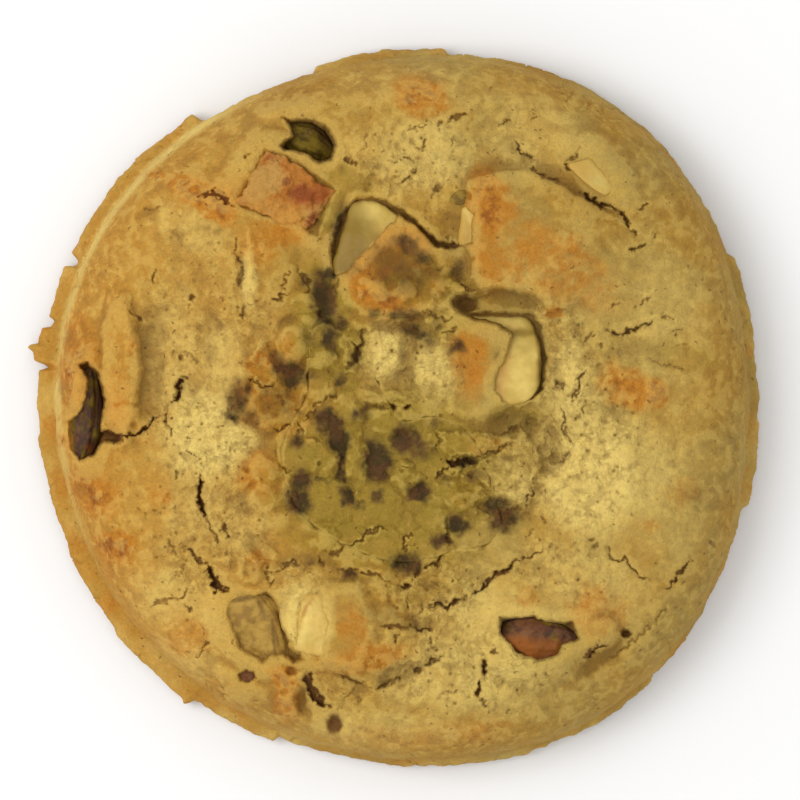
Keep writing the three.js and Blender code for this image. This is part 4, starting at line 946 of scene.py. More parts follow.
# %% Pale places
PALE = [  # at, half axes, turn, strength
    ((-24, -3), (4.6, 6), -10, 0.75), ((-20.4, -4.6), (3.2, 3.4), 0, 0.8), ((-22, 5), (2.6, 6), 0, 0.4),
    ((-1.9, 7), (2.7, 3.2), 0, 0.8), ((4.4, 3), (2.6, 5), 0, 0.65), ((24.2, -8.4), (6.4, 7.4), 0, 0.9),
    ((23.4, -4), (1.6, 2.4), 0, 0.8), ((13.4, -9.4), (3.6, 3), 0, 0.6), ((21.4, 3), (2.4, 5), 0, 0.7),
    ((2.6, 32), (6, 4.6), -10, 0.5), ((-25.6, 22.4), (5, 2.6), -20, 0.25), ((-18.4, 17), (1, 4), 0, 0.7),
    ((24, -21.5), (8, 4.4), -20, 0.4), ((-28, 6), (4, 8), 0, 0.35), ((-1, 31), (7, 4), 0, 0.3),
    ((2, 40), (8, 3), 0, 0.2), ((12, -26), (6, 4), 0, 0.5), ((8, -33), (9, 5), 0, 0.5),
    ((-11.5, -26), (3, 4), 10, 0.8), ((-27, -31), (4, 2.6), -30, 0.4), ((30, -8), (5, 7), 0, 0.45),
    ((-19, -14), (3, 4), 0, 0.2), ((-25, -12), (4, 5), 0, 0.2), ((18, 36), (7, 3), -30, 0.25),
    ((16, 32), (5, 2.4), -30, 0.3), ((22, 16), (7, 5), -28, 0.2), ((23, -1), (4, 5), 0, 0.35),
    ((8, -24), (5, 3), 0, 0.3), ((33, -13), (5, 6), 0, 0.25), ((-28, -24), (6, 4), -30, 0.3),
    ((6, 12.6), (3.6, 2), -10, 0.5), ((34, 10), (5, 9), 0, 0.3), ((34, -4), (4, 9), 0, 0.2),
    ((0, -40), (10, 2.4), 0, 0.3), ((5, -15), (6, 3), 0, 0.3),
]
print("pale places:", len(PALE))


# %% Masks of the dough
LIT_CREASE = (106, 130, 180, 206)  # degrees where the painted highlight on the crease above the foot fades in, is full, fades out, has gone


def patches(p, spots, soft):
    """The strongest of a list of soft ellipses at each point, 0 outside them all."""
    total = np.zeros(len(p))
    for at, half, turn, strength in spots:
        here = near_box(p, [np.subtract(at, np.max(half)), np.add(at, np.max(half))], 1 + np.max(half))
        total[here] = np.maximum(total[here], strength * mound(p[here], at, half, turn, soft))
    return total


def spread_out(piece, values, rounds):
    """Each point takes the mean of its neighbours, `rounds` times over."""
    edges = np.empty(len(piece.data.edges) * 2, dtype=np.int32)
    piece.data.edges.foreach_get("vertices", edges)
    a, b = edges.reshape(-1, 2).T
    share = np.maximum(np.bincount(edges, minlength=len(values)), 1)
    for _ in range(rounds):
        total = np.bincount(a, values[b], len(values)) + np.bincount(b, values[a], len(values))
        values = total / share
    return values


def painted(piece):
    """Works out every mask of a top piece and stores it in the mesh."""
    p = coordinates(piece)
    plan = p[:, :2]
    crack_shade, pocket, lift = crust(plan)[1:]
    share, across = share_out(plan), np.linalg.norm(plan, axis=1)
    turn = np.degrees(np.arctan2(plan[:, 1], plan[:, 0])) % 360
    top = 1 - step(share, 0.96, 1.02)
    side = 1 - top
    # Painted shade: `low` marks points that lie under their wider neighbourhood, and the material darkens them.
    close = spread_out(piece, p[:, 2], 8)
    low = step(spread_out(piece, close, 60) - close, 0.02, 0.35)
    # Painted highlight and shade: points that stand above their neighbours are lightened, points below them
    # darkened, and on the side the same by how far out a point lies.
    swell = np.clip((across - spread_out(piece, across, 8)) / 0.3, -0.5, 0.5)
    paint(piece, "low", low * top)
    paint(piece, "relief_shading", 0.5 + np.clip((p[:, 2] - close) / 0.36, -0.5, 0.5) * top + 0.35 * swell * side)
    # Painted shade in cracks, crevices, pits, the crumb's seams and pores, on pocket walls and in the side's
    # cracks.
    split = 0.3 * side_cracks(p) * side * step(p[:, 2], 0.3, 1.4)
    paint(piece, "crack_shade", np.maximum(crack_shade, 0.45 * pocket) * top + split)

    moved = shifted(plan, 0.5, 2.2, 15)
    browned = patches(moved, BROWNED, 0.6) + 0.25 * step(rough(plan, 7, 3, 101), 0, 1) * step(lift, -0.6, 1.2)
    browned += 0.35 * step(-plan[:, 0], 22, 42) * step(share, 0.6, 0.97)
    toasted = 0.05 + 0.4 * step(rough(p, 4.5, 3, 103), -0.2, 0.8)
    underside = 1 - step(p[:, 2], 0.05, 0.7)
    paint(piece, "browned", browned * (0.15 + 0.85 * top) + toasted * side + 0.8 * underside)

    cream = patches(shifted(plan, 0.9, 3, 17), CREAM_FIELDS, 0.45)
    # Stains, with painted shade: the mask is also made stronger in the low places.
    wider = [(at, (1.2 * a, 1.2 * b), t, strength) for at, (a, b), t, strength in STAINS_AND_SHADE]
    stain_and_shade = patches(shifted(plan, 0.55, 1.5, 19), wider, 0.75)
    paint(piece, "cream", cream * top)
    paint(piece, "stain_and_shade", stain_and_shade * top * mix(0.75, 1, step(low + 0.4 * rough(plan, 1.2, 2, 113), 0, 0.35)))

    crumb = torn(plan) * step(0.4 - lift + 0.9 * rough(plan, 3, 2, 111), -0.4, 1.0)
    pale = patches(moved, PALE, 0.5) + 0.25 * crumb
    # Painted highlight: a pale line along the crease above the foot, on the side towards the lamp.
    crease = step(share, 0.975, 0.99) * (1 - step(share, 1.0, 1.012))
    crease = crease * step(turn, *LIT_CREASE[:2]) * (1 - step(turn, *LIT_CREASE[2:]))
    clouds = 0.3 * side * step(rough(p, 6, 2, 104), -0.4, 0.5)
    paint(piece, "crumb", crumb * top)
    paint(piece, "pale", np.maximum(pale * top * (1 - 0.7 * np.minimum(cream, 1)), 0.75 * crease + clouds))


painted(dough)
print("masks:", [a.name for a in dough.data.attributes if a.data_type == "FLOAT"])

# %% [markdown]
# ## Materials in layers
# A small helper keeps a material readable: each call adds one node and gives back its output, so
# that a finish reads as a list of layers. Colours are given as they look on screen, 0 to 255.

# %% Node helper
LIGHT_ON_TOP = 1.22  # how bright the studio makes a level white surface


def seen(*rgb):
    """A colour as it looks on screen, 0 to 255, turned into linear light and divided by the light on it."""
    c = np.array(rgb) / 255
    return (*(np.where(c <= 0.04045, c / 12.92, ((c + 0.055) / 1.055) ** 2.4) / LIGHT_ON_TOP), 1.0)


class Finish:
    """A material that is built node by node on the Principled shader."""

    def __init__(self, name):
        """An empty material whose noises will read the object's own coordinates."""
        self.material = bpy.data.materials.new(name)
        self.material.use_nodes = True
        self.tree = self.material.node_tree
        self.shader = self.tree.nodes["Principled BSDF"]
        self.place = self.add("ShaderNodeTexCoord").outputs["Object"]

    def add(self, kind, **settings):
        """A new node of one kind, with its settings."""
        node = self.tree.nodes.new(kind)
        for key, value in settings.items():
            setattr(node, key, value)
        return node

    def put(self, socket, value):
        """Feeds a socket by a link if value is another node's output, or else by the value itself."""
        if isinstance(value, bpy.types.NodeSocket):
            self.tree.links.new(value, socket)
        else:
            socket.default_value = value

    def mask(self, name):
        """A mask that was painted on the mesh's points."""
        return self.add("ShaderNodeAttribute", attribute_name=name).outputs["Fac"]

    def axis(self, name):
        """The place along one axis, in metres."""
        split = self.add("ShaderNodeSeparateXYZ")
        self.put(split.inputs[0], self.place)
        return split.outputs[name]

    def noise(self, size, detail=3, roughness=0.55, place=None):
        """Noise from 0 to 1 with humps about `size` millimetres across."""
        node = self.add("ShaderNodeTexNoise")
        self.put(node.inputs["Vector"], place or self.place)
        node.inputs["Scale"].default_value = 1 / (size * MM)
        node.inputs["Detail"].default_value = detail
        node.inputs["Roughness"].default_value = roughness
        return node.outputs["Fac"]

    def cobbles(self, size, low, high):
        """Distance to the nearest centre of Voronoi cells `size` millimetres across with wandering borders."""
        drift = self.add("ShaderNodeTexNoise")
        self.put(drift.inputs["Vector"], self.place)
        drift.inputs["Scale"].default_value = 1.4 / (size * MM)
        drift.inputs["Detail"].default_value = 3
        push = self.add("ShaderNodeVectorMath", operation="MULTIPLY_ADD")
        self.put(push.inputs[0], drift.outputs["Color"])
        push.inputs[1].default_value = [1.1 * size * MM] * 3
        self.put(push.inputs[2], self.place)
        cells = self.add("ShaderNodeTexVoronoi")
        self.put(cells.inputs["Vector"], push.outputs[0])
        cells.inputs["Scale"].default_value = 1 / (size * MM)
        return self.band(cells.outputs["Distance"], low, high)

    def sum(self, kind, a, b):
        """One step of arithmetic on two values; `kind` is the operation, such as MULTIPLY."""
        node = self.add("ShaderNodeMath", operation=kind)
        self.put(node.inputs[0], a)
        self.put(node.inputs[1], b)
        return node.outputs[0]

    def band(self, value, low, high, start=0.0, end=1.0):
        """Value stretched so that low..high becomes start..end, and held outside it."""
        node = self.add("ShaderNodeMapRange", interpolation_type="SMOOTHSTEP")
        self.put(node.inputs["Value"], value)
        for name, v in (("From Min", low), ("From Max", high), ("To Min", start), ("To Max", end)):
            self.put(node.inputs[name], v)
        return node.outputs["Result"]

    def blend(self, a, b, share, kind="MIX"):
        """Colour a, covered by colour b as far as share says."""
        node = self.add("ShaderNodeMix", data_type="RGBA", blend_type=kind)
        self.put(node.inputs["Factor"], share)
        self.put(node.inputs["A"], a)
        self.put(node.inputs["B"], b)
        return node.outputs["Result"]

    def bump(self, height, depth, below=None):
        """Bump of `depth` millimetres where height is 1."""
        node = self.add("ShaderNodeBump")
        node.inputs["Distance"].default_value = depth * MM
        self.put(node.inputs["Height"], height)
        if below is not None:
            self.put(node.inputs["Normal"], below)
        return node.outputs["Normal"]

    def done(self, colour, roughness, normal=None, **plain):
        """Fills in the shader, with values that suit baked food where none is given."""
        self.put(self.shader.inputs["Base Color"], colour)
        self.put(self.shader.inputs["Roughness"], roughness)
        if normal is not None:
            self.put(self.shader.inputs["Normal"], normal)
        for name, value in {"Specular IOR Level": 0.15, "Subsurface Radius": (1.0, 0.75, 0.4), **plain}.items():
            self.shader.inputs[name].default_value = value
        return self.material


# %% [markdown]
# ## The dough's finish
# Baked dough is dull and mottled at every size. Its colour is laid on as a baker would explain it:
# plain crust, pale crumb, browning in two steps, green cream, painted shade in the low places,
# painted highlight on the tops and painted shade in the dips of the relief, stains with painted
# shade in some hollows, painted shade in the crumb's gaps, pores and cracks, and last sand. Each
# layer is blended by a mask, a noise, or both.

# %% Baked dough
def baked_dough(name, dullness=0.8):
    """Crust, crumb, browning, cream, stains, painted shade and highlights laid over each other; `dullness` is
    the roughness.
    """
    f = Finish(name)
    grain = f.noise(0.34, 4, 0.7)
    specks = f.noise(0.9, 4, 0.65)
    patch = f.noise(2.6, 5, 0.62)
    wide = f.noise(11, 3, 0.5)
    torn_part = f.mask("crumb")
    west = f.band(f.axis("X"), 0.012, -0.034)
    crust = f.blend(seen(171, 141, 69), seen(176, 134, 52), f.band(wide, 0.38, 0.62))
    crust = f.blend(crust, seen(190, 140, 55), west)
    colour = f.blend(crust, seen(190, 153, 68), f.band(patch, 0.45, 0.68, 0, 0.55))
    pale = f.sum("MULTIPLY", f.mask("pale"), f.band(patch, 0.3, 0.55, 0.72, 1))
    colour = f.blend(colour, seen(238, 211, 123), f.sum("MULTIPLY", pale, 0.92))
    brown = f.sum("MULTIPLY", f.mask("browned"), f.band(patch, 0.3, 0.6, 0.5, 1.15))
    brown = f.sum("MULTIPLY", brown, f.band(specks, 0.3, 0.7, 1.2, 0.8))
    colour = f.blend(colour, seen(192, 124, 34), f.band(brown, 0.05, 0.8, 0, 0.85))
    colour = f.blend(colour, seen(142, 78, 28), f.band(brown, 0.8, 1.3, 0, 0.75))
    green = f.sum("MULTIPLY", f.mask("cream"), f.band(f.noise(2.2, 3), 0.3, 0.6, 0.6, 1))
    colour = f.blend(colour, seen(153, 127, 42), f.band(green, 0.1, 0.9, 0, 0.9))
    # Painted shade in the low places.
    low = f.mask("low")
    colour = f.blend(colour, seen(122, 92, 44), f.band(low, 0.1, 1, 0, 0.34))
    # Painted shade where the relief dips below its neighbours, and painted highlight where it stands above
    # them.
    colour = f.blend(colour, seen(112, 76, 32), f.band(f.mask("relief_shading"), 0.46, 0.05, 0, 0.26))
    colour = f.blend(colour, seen(240, 210, 116), f.band(f.mask("relief_shading"), 0.52, 0.9, 0, 0.24))
    # Dark stains, and painted shade in some hollows.
    stain_and_shade = f.sum("MULTIPLY", f.mask("stain_and_shade"), f.band(specks, 0.3, 0.7, 0.8, 1.15))
    dark = f.blend(seen(56, 42, 18), seen(85, 54, 28), f.band(patch, 0.42, 0.6))
    colour = f.blend(colour, dark, f.band(stain_and_shade, 0.06, 0.75, 0, 0.95))
    # Painted shade in the gaps between crumbs and in the pores; the same gaps and pores are also bumped down.
    scales, crumbs = f.cobbles(1.7, 0.25, 0.75), f.cobbles(0.8, 0.25, 0.75)
    open_part = f.band(torn_part, 0.1, 0.7, 0.15, 1)
    gaps = f.sum("ADD", f.sum("MULTIPLY", scales, 0.5), f.sum("MULTIPLY", crumbs, 0.5))
    gaps = f.sum("MULTIPLY", gaps, open_part)
    colour = f.blend(colour, seen(128, 88, 32), f.band(gaps, 0.35, 0.95, 0, 0.3))
    pores = f.sum("MULTIPLY", f.cobbles(1.5, 0.16, 0.07), f.band(f.noise(2.4, 2), 0.45, 0.55))
    colour = f.blend(colour, seen(104, 66, 24), f.sum("MULTIPLY", pores, 0.5))
    # Painted shade in cracks, crevices, pits and seams, and on pocket walls.
    colour = f.blend(colour, seen(108, 68, 34), f.band(f.mask("crack_shade"), 0.1, 1.0, 0, 0.85))
    sand = f.band(f.sum("ADD", f.sum("MULTIPLY", grain, 0.6), f.sum("MULTIPLY", specks, 0.4)), 0.3, 0.7)
    colour = f.blend(colour, f.blend(seen(80, 56, 20), seen(255, 240, 190), sand), 0.2, "OVERLAY")
    height = f.sum("ADD", f.sum("MULTIPLY", grain, 0.8), f.sum("MULTIPLY", f.noise(1.1, 4, 0.6), 0.7))
    dips = f.sum("ADD", f.sum("MULTIPLY", gaps, 0.9), f.sum("MULTIPLY", pores, 0.5))
    height = f.sum("SUBTRACT", height, dips)
    light_inside = {"Subsurface Weight": 0.1, "Subsurface Scale": 0.001}
    return f.done(colour, dullness, f.bump(height, 0.34), **light_inside)


dough.data.materials.clear()
dough.data.materials.append(baked_dough("baked_dough"))
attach(dough, "root")
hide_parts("dough")

# %% [markdown]
# ## The cream's own piece
# The cream is a disc of rings like the dough's top, but its rings follow the pool's outline. A
# lens-shaped underside closes it. It takes the dough's material, with more gloss, because the
# baked cream and the crumb run into each other without a line.

# %% Mesh of the cream
CREAM_RINGS = 110
CREAM_BELLY = 2.4  # how far the underside bulges below its rim

plan, share = ring_points(np.arange(CREAM_RINGS + 1) / CREAM_RINGS, cream_radius)
plan = CREAM_MIDDLE + plan
top = np.column_stack([plan, cream_height(plan)])
level = float(np.median(top[:, 2]))
below = np.column_stack([plan, level - CREAM_BED - CREAM_BELLY * np.sqrt(1 - share**2)])[: -6 * CREAM_RINGS]
flat = disc_faces(CREAM_RINGS)
under = disc_faces(CREAM_RINGS)[:, ::-1] + len(top)
rim = 1 + 3 * CREAM_RINGS * (CREAM_RINGS - 1)
under = np.where(under >= len(top) + rim, under - len(top), under)
cream = put("cream_pool", np.concatenate([top, below]), np.concatenate([flat, under]))
painted(cream)
cream.data.materials.append(baked_dough("baked_cream", dullness=0.5))
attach(cream, "root")
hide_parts("pistachio_cream")
print("cream:", len(cream.data.polygons), "faces")

# %% [markdown]
# ## Lumps of chocolate
# Chunks of chocolate are broken or moulded: flat faces with edges that the oven rounded. A lump
# is described by its faces. In each direction from its middle the surface lies where the first
# face is met; a high power mean instead of the plain nearest one rounds the edges.

# %% Faceted lumps
def ball_directions(around=120, up=80):
    """Directions on a sphere by longitude and latitude, with a point at each pole, and outward faces."""
    lon = np.arange(around) / around * 2 * np.pi
    lat = (np.arange(1, up) / up - 0.5) * np.pi
    lat, lon = [a.ravel() for a in np.meshgrid(lat, lon, indexing="ij")]
    rows = np.column_stack([np.cos(lat) * np.cos(lon), np.cos(lat) * np.sin(lon), np.sin(lat)])
    i = np.arange(around)
    j = (i + 1) % around
    last = (up - 2) * around
    bands = [band_faces((k + 1) * around, k * around, around) for k in range(up - 2)]
    low = np.stack([np.full(around, len(rows)), j, i], axis=1)
    high = np.stack([np.full(around, len(rows) + 1), last + i, last + j], axis=1)
    return np.concatenate([rows, [[0, 0, -1], [0, 0, 1]]]), np.concatenate([*bands, low, high])


DIRECTIONS, BALL_FACES = ball_directions()


def tilted(toward, tilt):
    """A direction that leans `tilt` degrees from straight up towards `toward` degrees."""
    t, a = math.radians(tilt), math.radians(toward)
    return np.array([math.cos(a) * math.sin(t), math.sin(a) * math.sin(t), math.cos(t)])


DENT_REACH = 6  # millimetres


def lump(name, node, outline, tops, lean, sharp, dent):
    """Surface r(d) = (sum over faces of max(0, n.d/h)^sharp)^(-1/sharp), dented by noise.

    `n` is a face's direction and `h` its distance from the middle. `outline` holds the plan
    corners, counter-clockwise; `tops` holds (toward, tilt, lower by) of each upper face, measured
    from the top of the node's box; `lean` is how far the sides slope in, in degrees; `dent` is how
    deep the noise goes in millimetres, at DENT_REACH from the middle.
    """
    low, high = solid_box(node)
    middle = (low + high) / 2
    outline = np.array(outline, dtype=float)
    walls = []
    for a, b in zip(outline, np.roll(outline, -1, axis=0)):
        out = np.array([b[1] - a[1], a[0] - b[0]]) / np.linalg.norm(b - a)
        c, s = math.cos(math.radians(lean)), math.sin(math.radians(lean))
        walls.append((np.array([out[0] * c, out[1] * c, s]), c * float(out @ (a - middle[:2]))))
    tops = [(tilted(toward, tilt), high[2] - middle[2] - lower) for toward, tilt, lower in tops]
    planes = walls + tops + [(np.array([0, 0, -1.0]), middle[2] - low[2])]
    total = sum(np.clip(DIRECTIONS @ n / max(h, 0.3), 0, None) ** sharp for n, h in planes)
    points = DIRECTIONS * (total ** (-1 / sharp))[:, None]
    dented = rough(points, 3, 3, 121) + 0.5 * rough(points, 0.9, 3, 122)
    points = points * (1 + dent / DENT_REACH * dented)[:, None] + middle
    piece = put(name, points, BALL_FACES)
    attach(piece, "root")
    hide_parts(node)
    return piece


LUMPS = [  # name, node, outline, upper faces, lean, sharpness, dents
    ("far_chocolate", "chocolate_far",
     [(-8.5, 17.2), (-4, 12.6), (4.5, 13.6), (4.7, 20.8), (-2.6, 26.3), (-5.7, 26)],
     [(200, 9, 0.2), (95, 16, 0.1), (300, 6, 0.4)], 4, 20, 0.15),
    ("right_chocolate", "chocolate_right",
     [(7, 1.4), (12, 0.2), (16, 0.3), (17.9, 2.2), (17.9, 9), (16.6, 11.4), (7, 11.9)],
     [(310, 5, 0.0), (92, 22, 0.9), (180, 9, 0.6)], 5, 18, 0.2),
    ("small_chocolate", "chocolate_small", [(7.5, 20.4), (12, 20), (12.2, 25.4), (8, 25.3)],
     [(190, 24, 0.7), (60, 8, 0)], 8, 8, 0.3),
    ("near_chocolate", "chocolate_near",
     [(-13.6, -29.8), (-8.6, -31.8), (-6, -26.6), (-8.4, -22.4), (-12, -23)],
     [(196, 24, 0.5), (20, 14, 0.2), (150, 16, 0.4)], 10, 16, 0.4),
    ("rim_chocolate", "chocolate_rim", [(20.6, 30.6), (22.6, 28.4), (26, 26), (27.6, 27.2), (25.4, 32)],
     [(50, 20, 0.8)], 8, 10, 0.3),
    ("caramel_lump", "caramel_chunk", [(-20.8, 25.4), (-11, 20.8), (-7.2, 27.4), (-16.4, 33.2)],
     [(205, 5, 0.0), (50, 9, 0.0), (300, 8, 0.0)], 12, 24, 0.8),
]

# %% [markdown]
# ## Finishes of the lumps
# White chocolate is waxy: light goes a little way in, so it gets some subsurface. The caramel
# chunk is toasted skin over a paler face. Three masks say where each lump is toasted by the oven,
# where it is darker, which is dull skin and also painted shade along the far chocolate's shaded
# left side and in the caramel's dark slot, and where crumb sticks to it.

# %% Chocolate and caramel finishes
def waxy_chocolate():
    """Pale yellow, a little see-through, greener and duller in broad clouds."""
    f = Finish("white_chocolate")
    cloud = f.noise(5, 3)
    colour = f.blend(seen(222, 194, 108), seen(188, 160, 78), f.band(cloud, 0.42, 0.66, 0, 0.8))
    colour = f.blend(colour, seen(176, 128, 50), f.mask("toasted"))
    # Darker where dull, and painted shade on the far chocolate's shaded left side.
    colour = f.blend(colour, seen(136, 108, 38), f.mask("dulled_and_shaded"))
    colour = f.blend(colour, seen(198, 160, 78), f.sum("MULTIPLY", f.mask("dusted"), 0.9))
    colour = f.blend(colour, f.blend(seen(90, 70, 30), seen(255, 245, 205), f.noise(0.8, 3)), 0.07, "OVERLAY")
    height = f.sum("ADD", f.noise(1.6, 3), f.sum("MULTIPLY", f.noise(0.35, 2), 0.25))
    return f.done(colour, 0.42, f.bump(height, 0.12), **{"Subsurface Weight": 0.25, "Subsurface Scale": 0.002})


def toasted_chunk():
    """Orange-brown toffee skin over a pinkish-tan face, with a bread-like grain."""
    f = Finish("caramel_skin")
    patch = f.noise(3.4, 4, 0.6)
    colour = f.blend(seen(186, 144, 72), seen(178, 116, 44), f.band(patch, 0.42, 0.56))
    toast = f.sum("MULTIPLY", f.mask("toasted"), f.band(patch, 0.35, 0.55, 0.4, 1))
    colour = f.blend(colour, seen(156, 84, 34), toast)
    pits = f.sum("MULTIPLY", f.cobbles(1.2, 0.2, 0.08), f.band(patch, 0.4, 0.55))
    colour = f.blend(colour, seen(112, 56, 34), f.sum("MULTIPLY", pits, 0.8))
    dust = f.sum("MULTIPLY", f.mask("dusted"), f.band(patch, 0.4, 0.55, 0.3, 0.9))
    colour = f.blend(colour, seen(196, 144, 62), dust)
    # Darker where dull, and painted shade in the dark slot by the caramel's right side.
    colour = f.blend(colour, seen(122, 62, 24), f.mask("dulled_and_shaded"))
    grain = f.noise(0.5, 4, 0.6)
    colour = f.blend(colour, f.blend(seen(90, 50, 20), seen(255, 225, 180), grain), 0.2, "OVERLAY")
    height = f.sum("ADD", f.sum("MULTIPLY", grain, 0.5), f.noise(1.5, 3))
    return f.done(colour, 0.6, f.bump(height, 0.5), **{"Subsurface Weight": 0.04, "Subsurface Scale": 0.001})

# %% Lumps in their pockets
TOASTED = {  # node: at, half axes, turn, strength
    "chocolate_right": [((11.6, 5.6), (2.2, 4.6), 0, 1.0), ((14, 10), (2, 0.4), -4, 0.3)],
    "chocolate_far": [((-1, 21), (2, 2), 0, 0.4)],
    "chocolate_near": [((-11.4, -24.8), (0.25, 1.9), -25, 0.9)],
    "chocolate_rim": [((22, 30), (2, 2), 0, 0.4)],
    "chocolate_small": [((11, 23), (2, 4), 0, 0.5), ((8.6, 21.4), (2, 2), 0, 0.7)],
    "caramel_chunk": [((-8.8, 27), (2.0, 3.4), -20, 0.9), ((-11.6, 26.8), (1.8, 1.1), 0, 1.2),
                      ((-16.4, 32), (2, 1.4), 0, 0.8), ((-10.8, 22.6), (1, 2.6), -15, 1.0),
                      ((-20.4, 25.6), (1.6, 1), 0, 0.9), ((-13, 23.4), (5, 1.4), -20, 0.5)],
}
# Dull places, and painted shade: the far chocolate's shaded left side and the caramel's dark slot.
DULLED_AND_SHADED = {  # node: at, half axes, turn, strength
    "chocolate_far": [((-6.4, 19), (3, 6.4), -12, 0.95), ((-4.4, 21), (2.4, 3), 0, 0.7)],
    "chocolate_small": [((8, 22), (1, 3), 0, 0.3)],
    "chocolate_right": [((15, 9.5), (2.8, 0.6), -3, 0.7)],
    "chocolate_rim": [((24, 29), (5, 5), 0, 0.3)],
    "caramel_chunk": [((-10.6, 23.4), (0.45, 1.3), -20, 1.0), ((-12, 26.9), (1.6, 0.8), 0, 0.5),
                      ((-13.8, 28.2), (0.4, 0.4), 0, 0.7)],
}
CRUSTED = {  # node: at, half axes, turn, strength of the crumb that sticks to it
    "caramel_chunk": [((-14.5, 24.2), (5.6, 1.5), -18, 1.0), ((-18.4, 27), (1.4, 2.4), 20, 0.6)],
    "chocolate_near": [((-9.2, -27), (1.5, 4.4), 10, 0.6), ((-11, -30.4), (2.2, 1.3), 0, 0.8)],
    "chocolate_small": [((7.8, 22.6), (0.8, 3), 0, 0.8)],
    "chocolate_rim": [((22.6, 29.9), (1.9, 1.7), -40, 0.9)],
}
DUSTED = {  # how far in from the opening's edge crumb dusts the face, in millimetres
    "chocolate_rim": 0.9, "chocolate_small": 1.0, "chocolate_near": 0.9, "caramel_chunk": 0.9,
    "chocolate_right": 0.5, "chocolate_far": 0.3,
}
OPENING = {node: outline for node, outline, *_ in POCKETS}
chocolate, caramel = waxy_chocolate(), toasted_chunk()
for name, node, outline, tops, lean, sharp, dent in LUMPS:
    piece = lump(name, node, outline, tops, lean, sharp, dent)
    plan = coordinates(piece)[:, :2]
    moved = shifted(plan, 0.4, 2, 131)
    paint(piece, "toasted", patches(moved, TOASTED[node], 0.6))
    paint(piece, "dulled_and_shaded", patches(moved, DULLED_AND_SHADED.get(node, []), 0.4))
    moved = shifted(plan, 0.5, 1.4, 133)
    edge = 1 - step(inside(moved, OPENING[node]), -0.1, DUSTED[node])
    paint(piece, "dusted", np.maximum(edge, patches(moved, CRUSTED.get(node, []), 0.5)))
    piece.data.materials.append(caramel if node == "caramel_chunk" else chocolate)
    print(name, "top at", coordinates(piece)[:, 2].max().round(1))

# %% [markdown]
# ## Pistachio kernels
# A shelled pistachio is an egg with a blunt tip, split by a seam into two halves, and its thin
# purple skin dries in wrinkles along its length. It is a profile carried along its own length:
# radius sqrt(1 - t^2), narrowed towards the tip, with a groove at the seam.

# %% Kernels
KERNELS = {  # node: size, turn and (about X, about Y) tilt from the solid, share of skin, depth of its cut top
    "pistachio_far": ((8, 5.2, 4.8), -24, (0, 0), 0.1, 0.8),
    "pistachio_left": ((12.4, 5.4, 5), 82, (42, 0), 0.45, -1.2),
    "pistachio_near": ((11, 6, 5.4), -8, (0, 0), 0.85, 0.2),
    "pistachio_pale": ((11.6, 7.4, 5.6), -52, (0, 4), 0.3, 0.0),
    "pistachio_sliver": ((3, 1.8, 1.8), 14, (0, 0), 0.0, 0.3),
    "nut_bit": ((2.8, 2, 1.8), -8, (0, 0), 1.0, 0.2),
}


def turning(turn, tilt):
    """Turn about Z after a tilt about Y after a tilt about X, as one matrix."""
    z, y, x = [math.radians(v) for v in (turn, tilt[1], tilt[0])]
    about_z = np.array([[math.cos(z), -math.sin(z), 0], [math.sin(z), math.cos(z), 0], [0, 0, 1]])
    about_y = np.array([[math.cos(y), 0, math.sin(y)], [0, 1, 0], [-math.sin(y), 0, math.cos(y)]])
    about_x = np.array([[1, 0, 0], [0, math.cos(x), -math.sin(x)], [0, math.sin(x), math.cos(x)]])
    return about_z @ about_y @ about_x


def kernel(name, node, size, turn, tilt, flat):
    """Egg of half axes size/2, narrowed to 70% at its tip, grooved at the seam and wrinkled.

    Its top is worn down to `flat` millimetres under the plain dome, or over it where `flat` is negative.
    """
    low, high = solid_box(node)
    d = DIRECTIONS[:, [2, 0, 1]]  # the poles lie at the kernel's two tips
    narrow = 1 - 0.3 * step(d[:, 0], -0.2, 1)
    seam = 1 - 0.12 * np.exp(-((d[:, 1] / 0.16) ** 2)) * (d[:, 2] > 0)
    folds = rough(d * np.array([1.0, 3.2, 3.2]) + size[0], 0.8, 3, 141)
    dimples = rough(d + size[0], 0.7, 2, 142)
    wrinkle = 1 + 0.07 * folds + 0.05 * dimples
    body = d * np.array(size) / 2
    body[:, 1:] *= (narrow * seam * wrinkle)[:, None]
    points = body @ turning(turn, tilt).T + (low + high) / 2
    level = dome_height(np.minimum(share_out(points[:, :2]), 1)) - flat
    points[:, 2] = np.minimum(points[:, 2], np.maximum(level, low[2] + 1) + 0.35 * rough(points, 2.0, 3, 143))
    piece = put(name, points, BALL_FACES)
    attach(piece, "root")
    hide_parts(node)
    return piece, d

# %% [markdown]
# ## The kernels' finish
# The nut is green under a thin purple-brown skin that flakes off. One material serves them all:
# masks say where the skin is left, where the oven toasted the nut, where it is near-black, which is
# burnt skin and painted shadow where a pocket's edge shades the kernel, and where crumb dusts it.

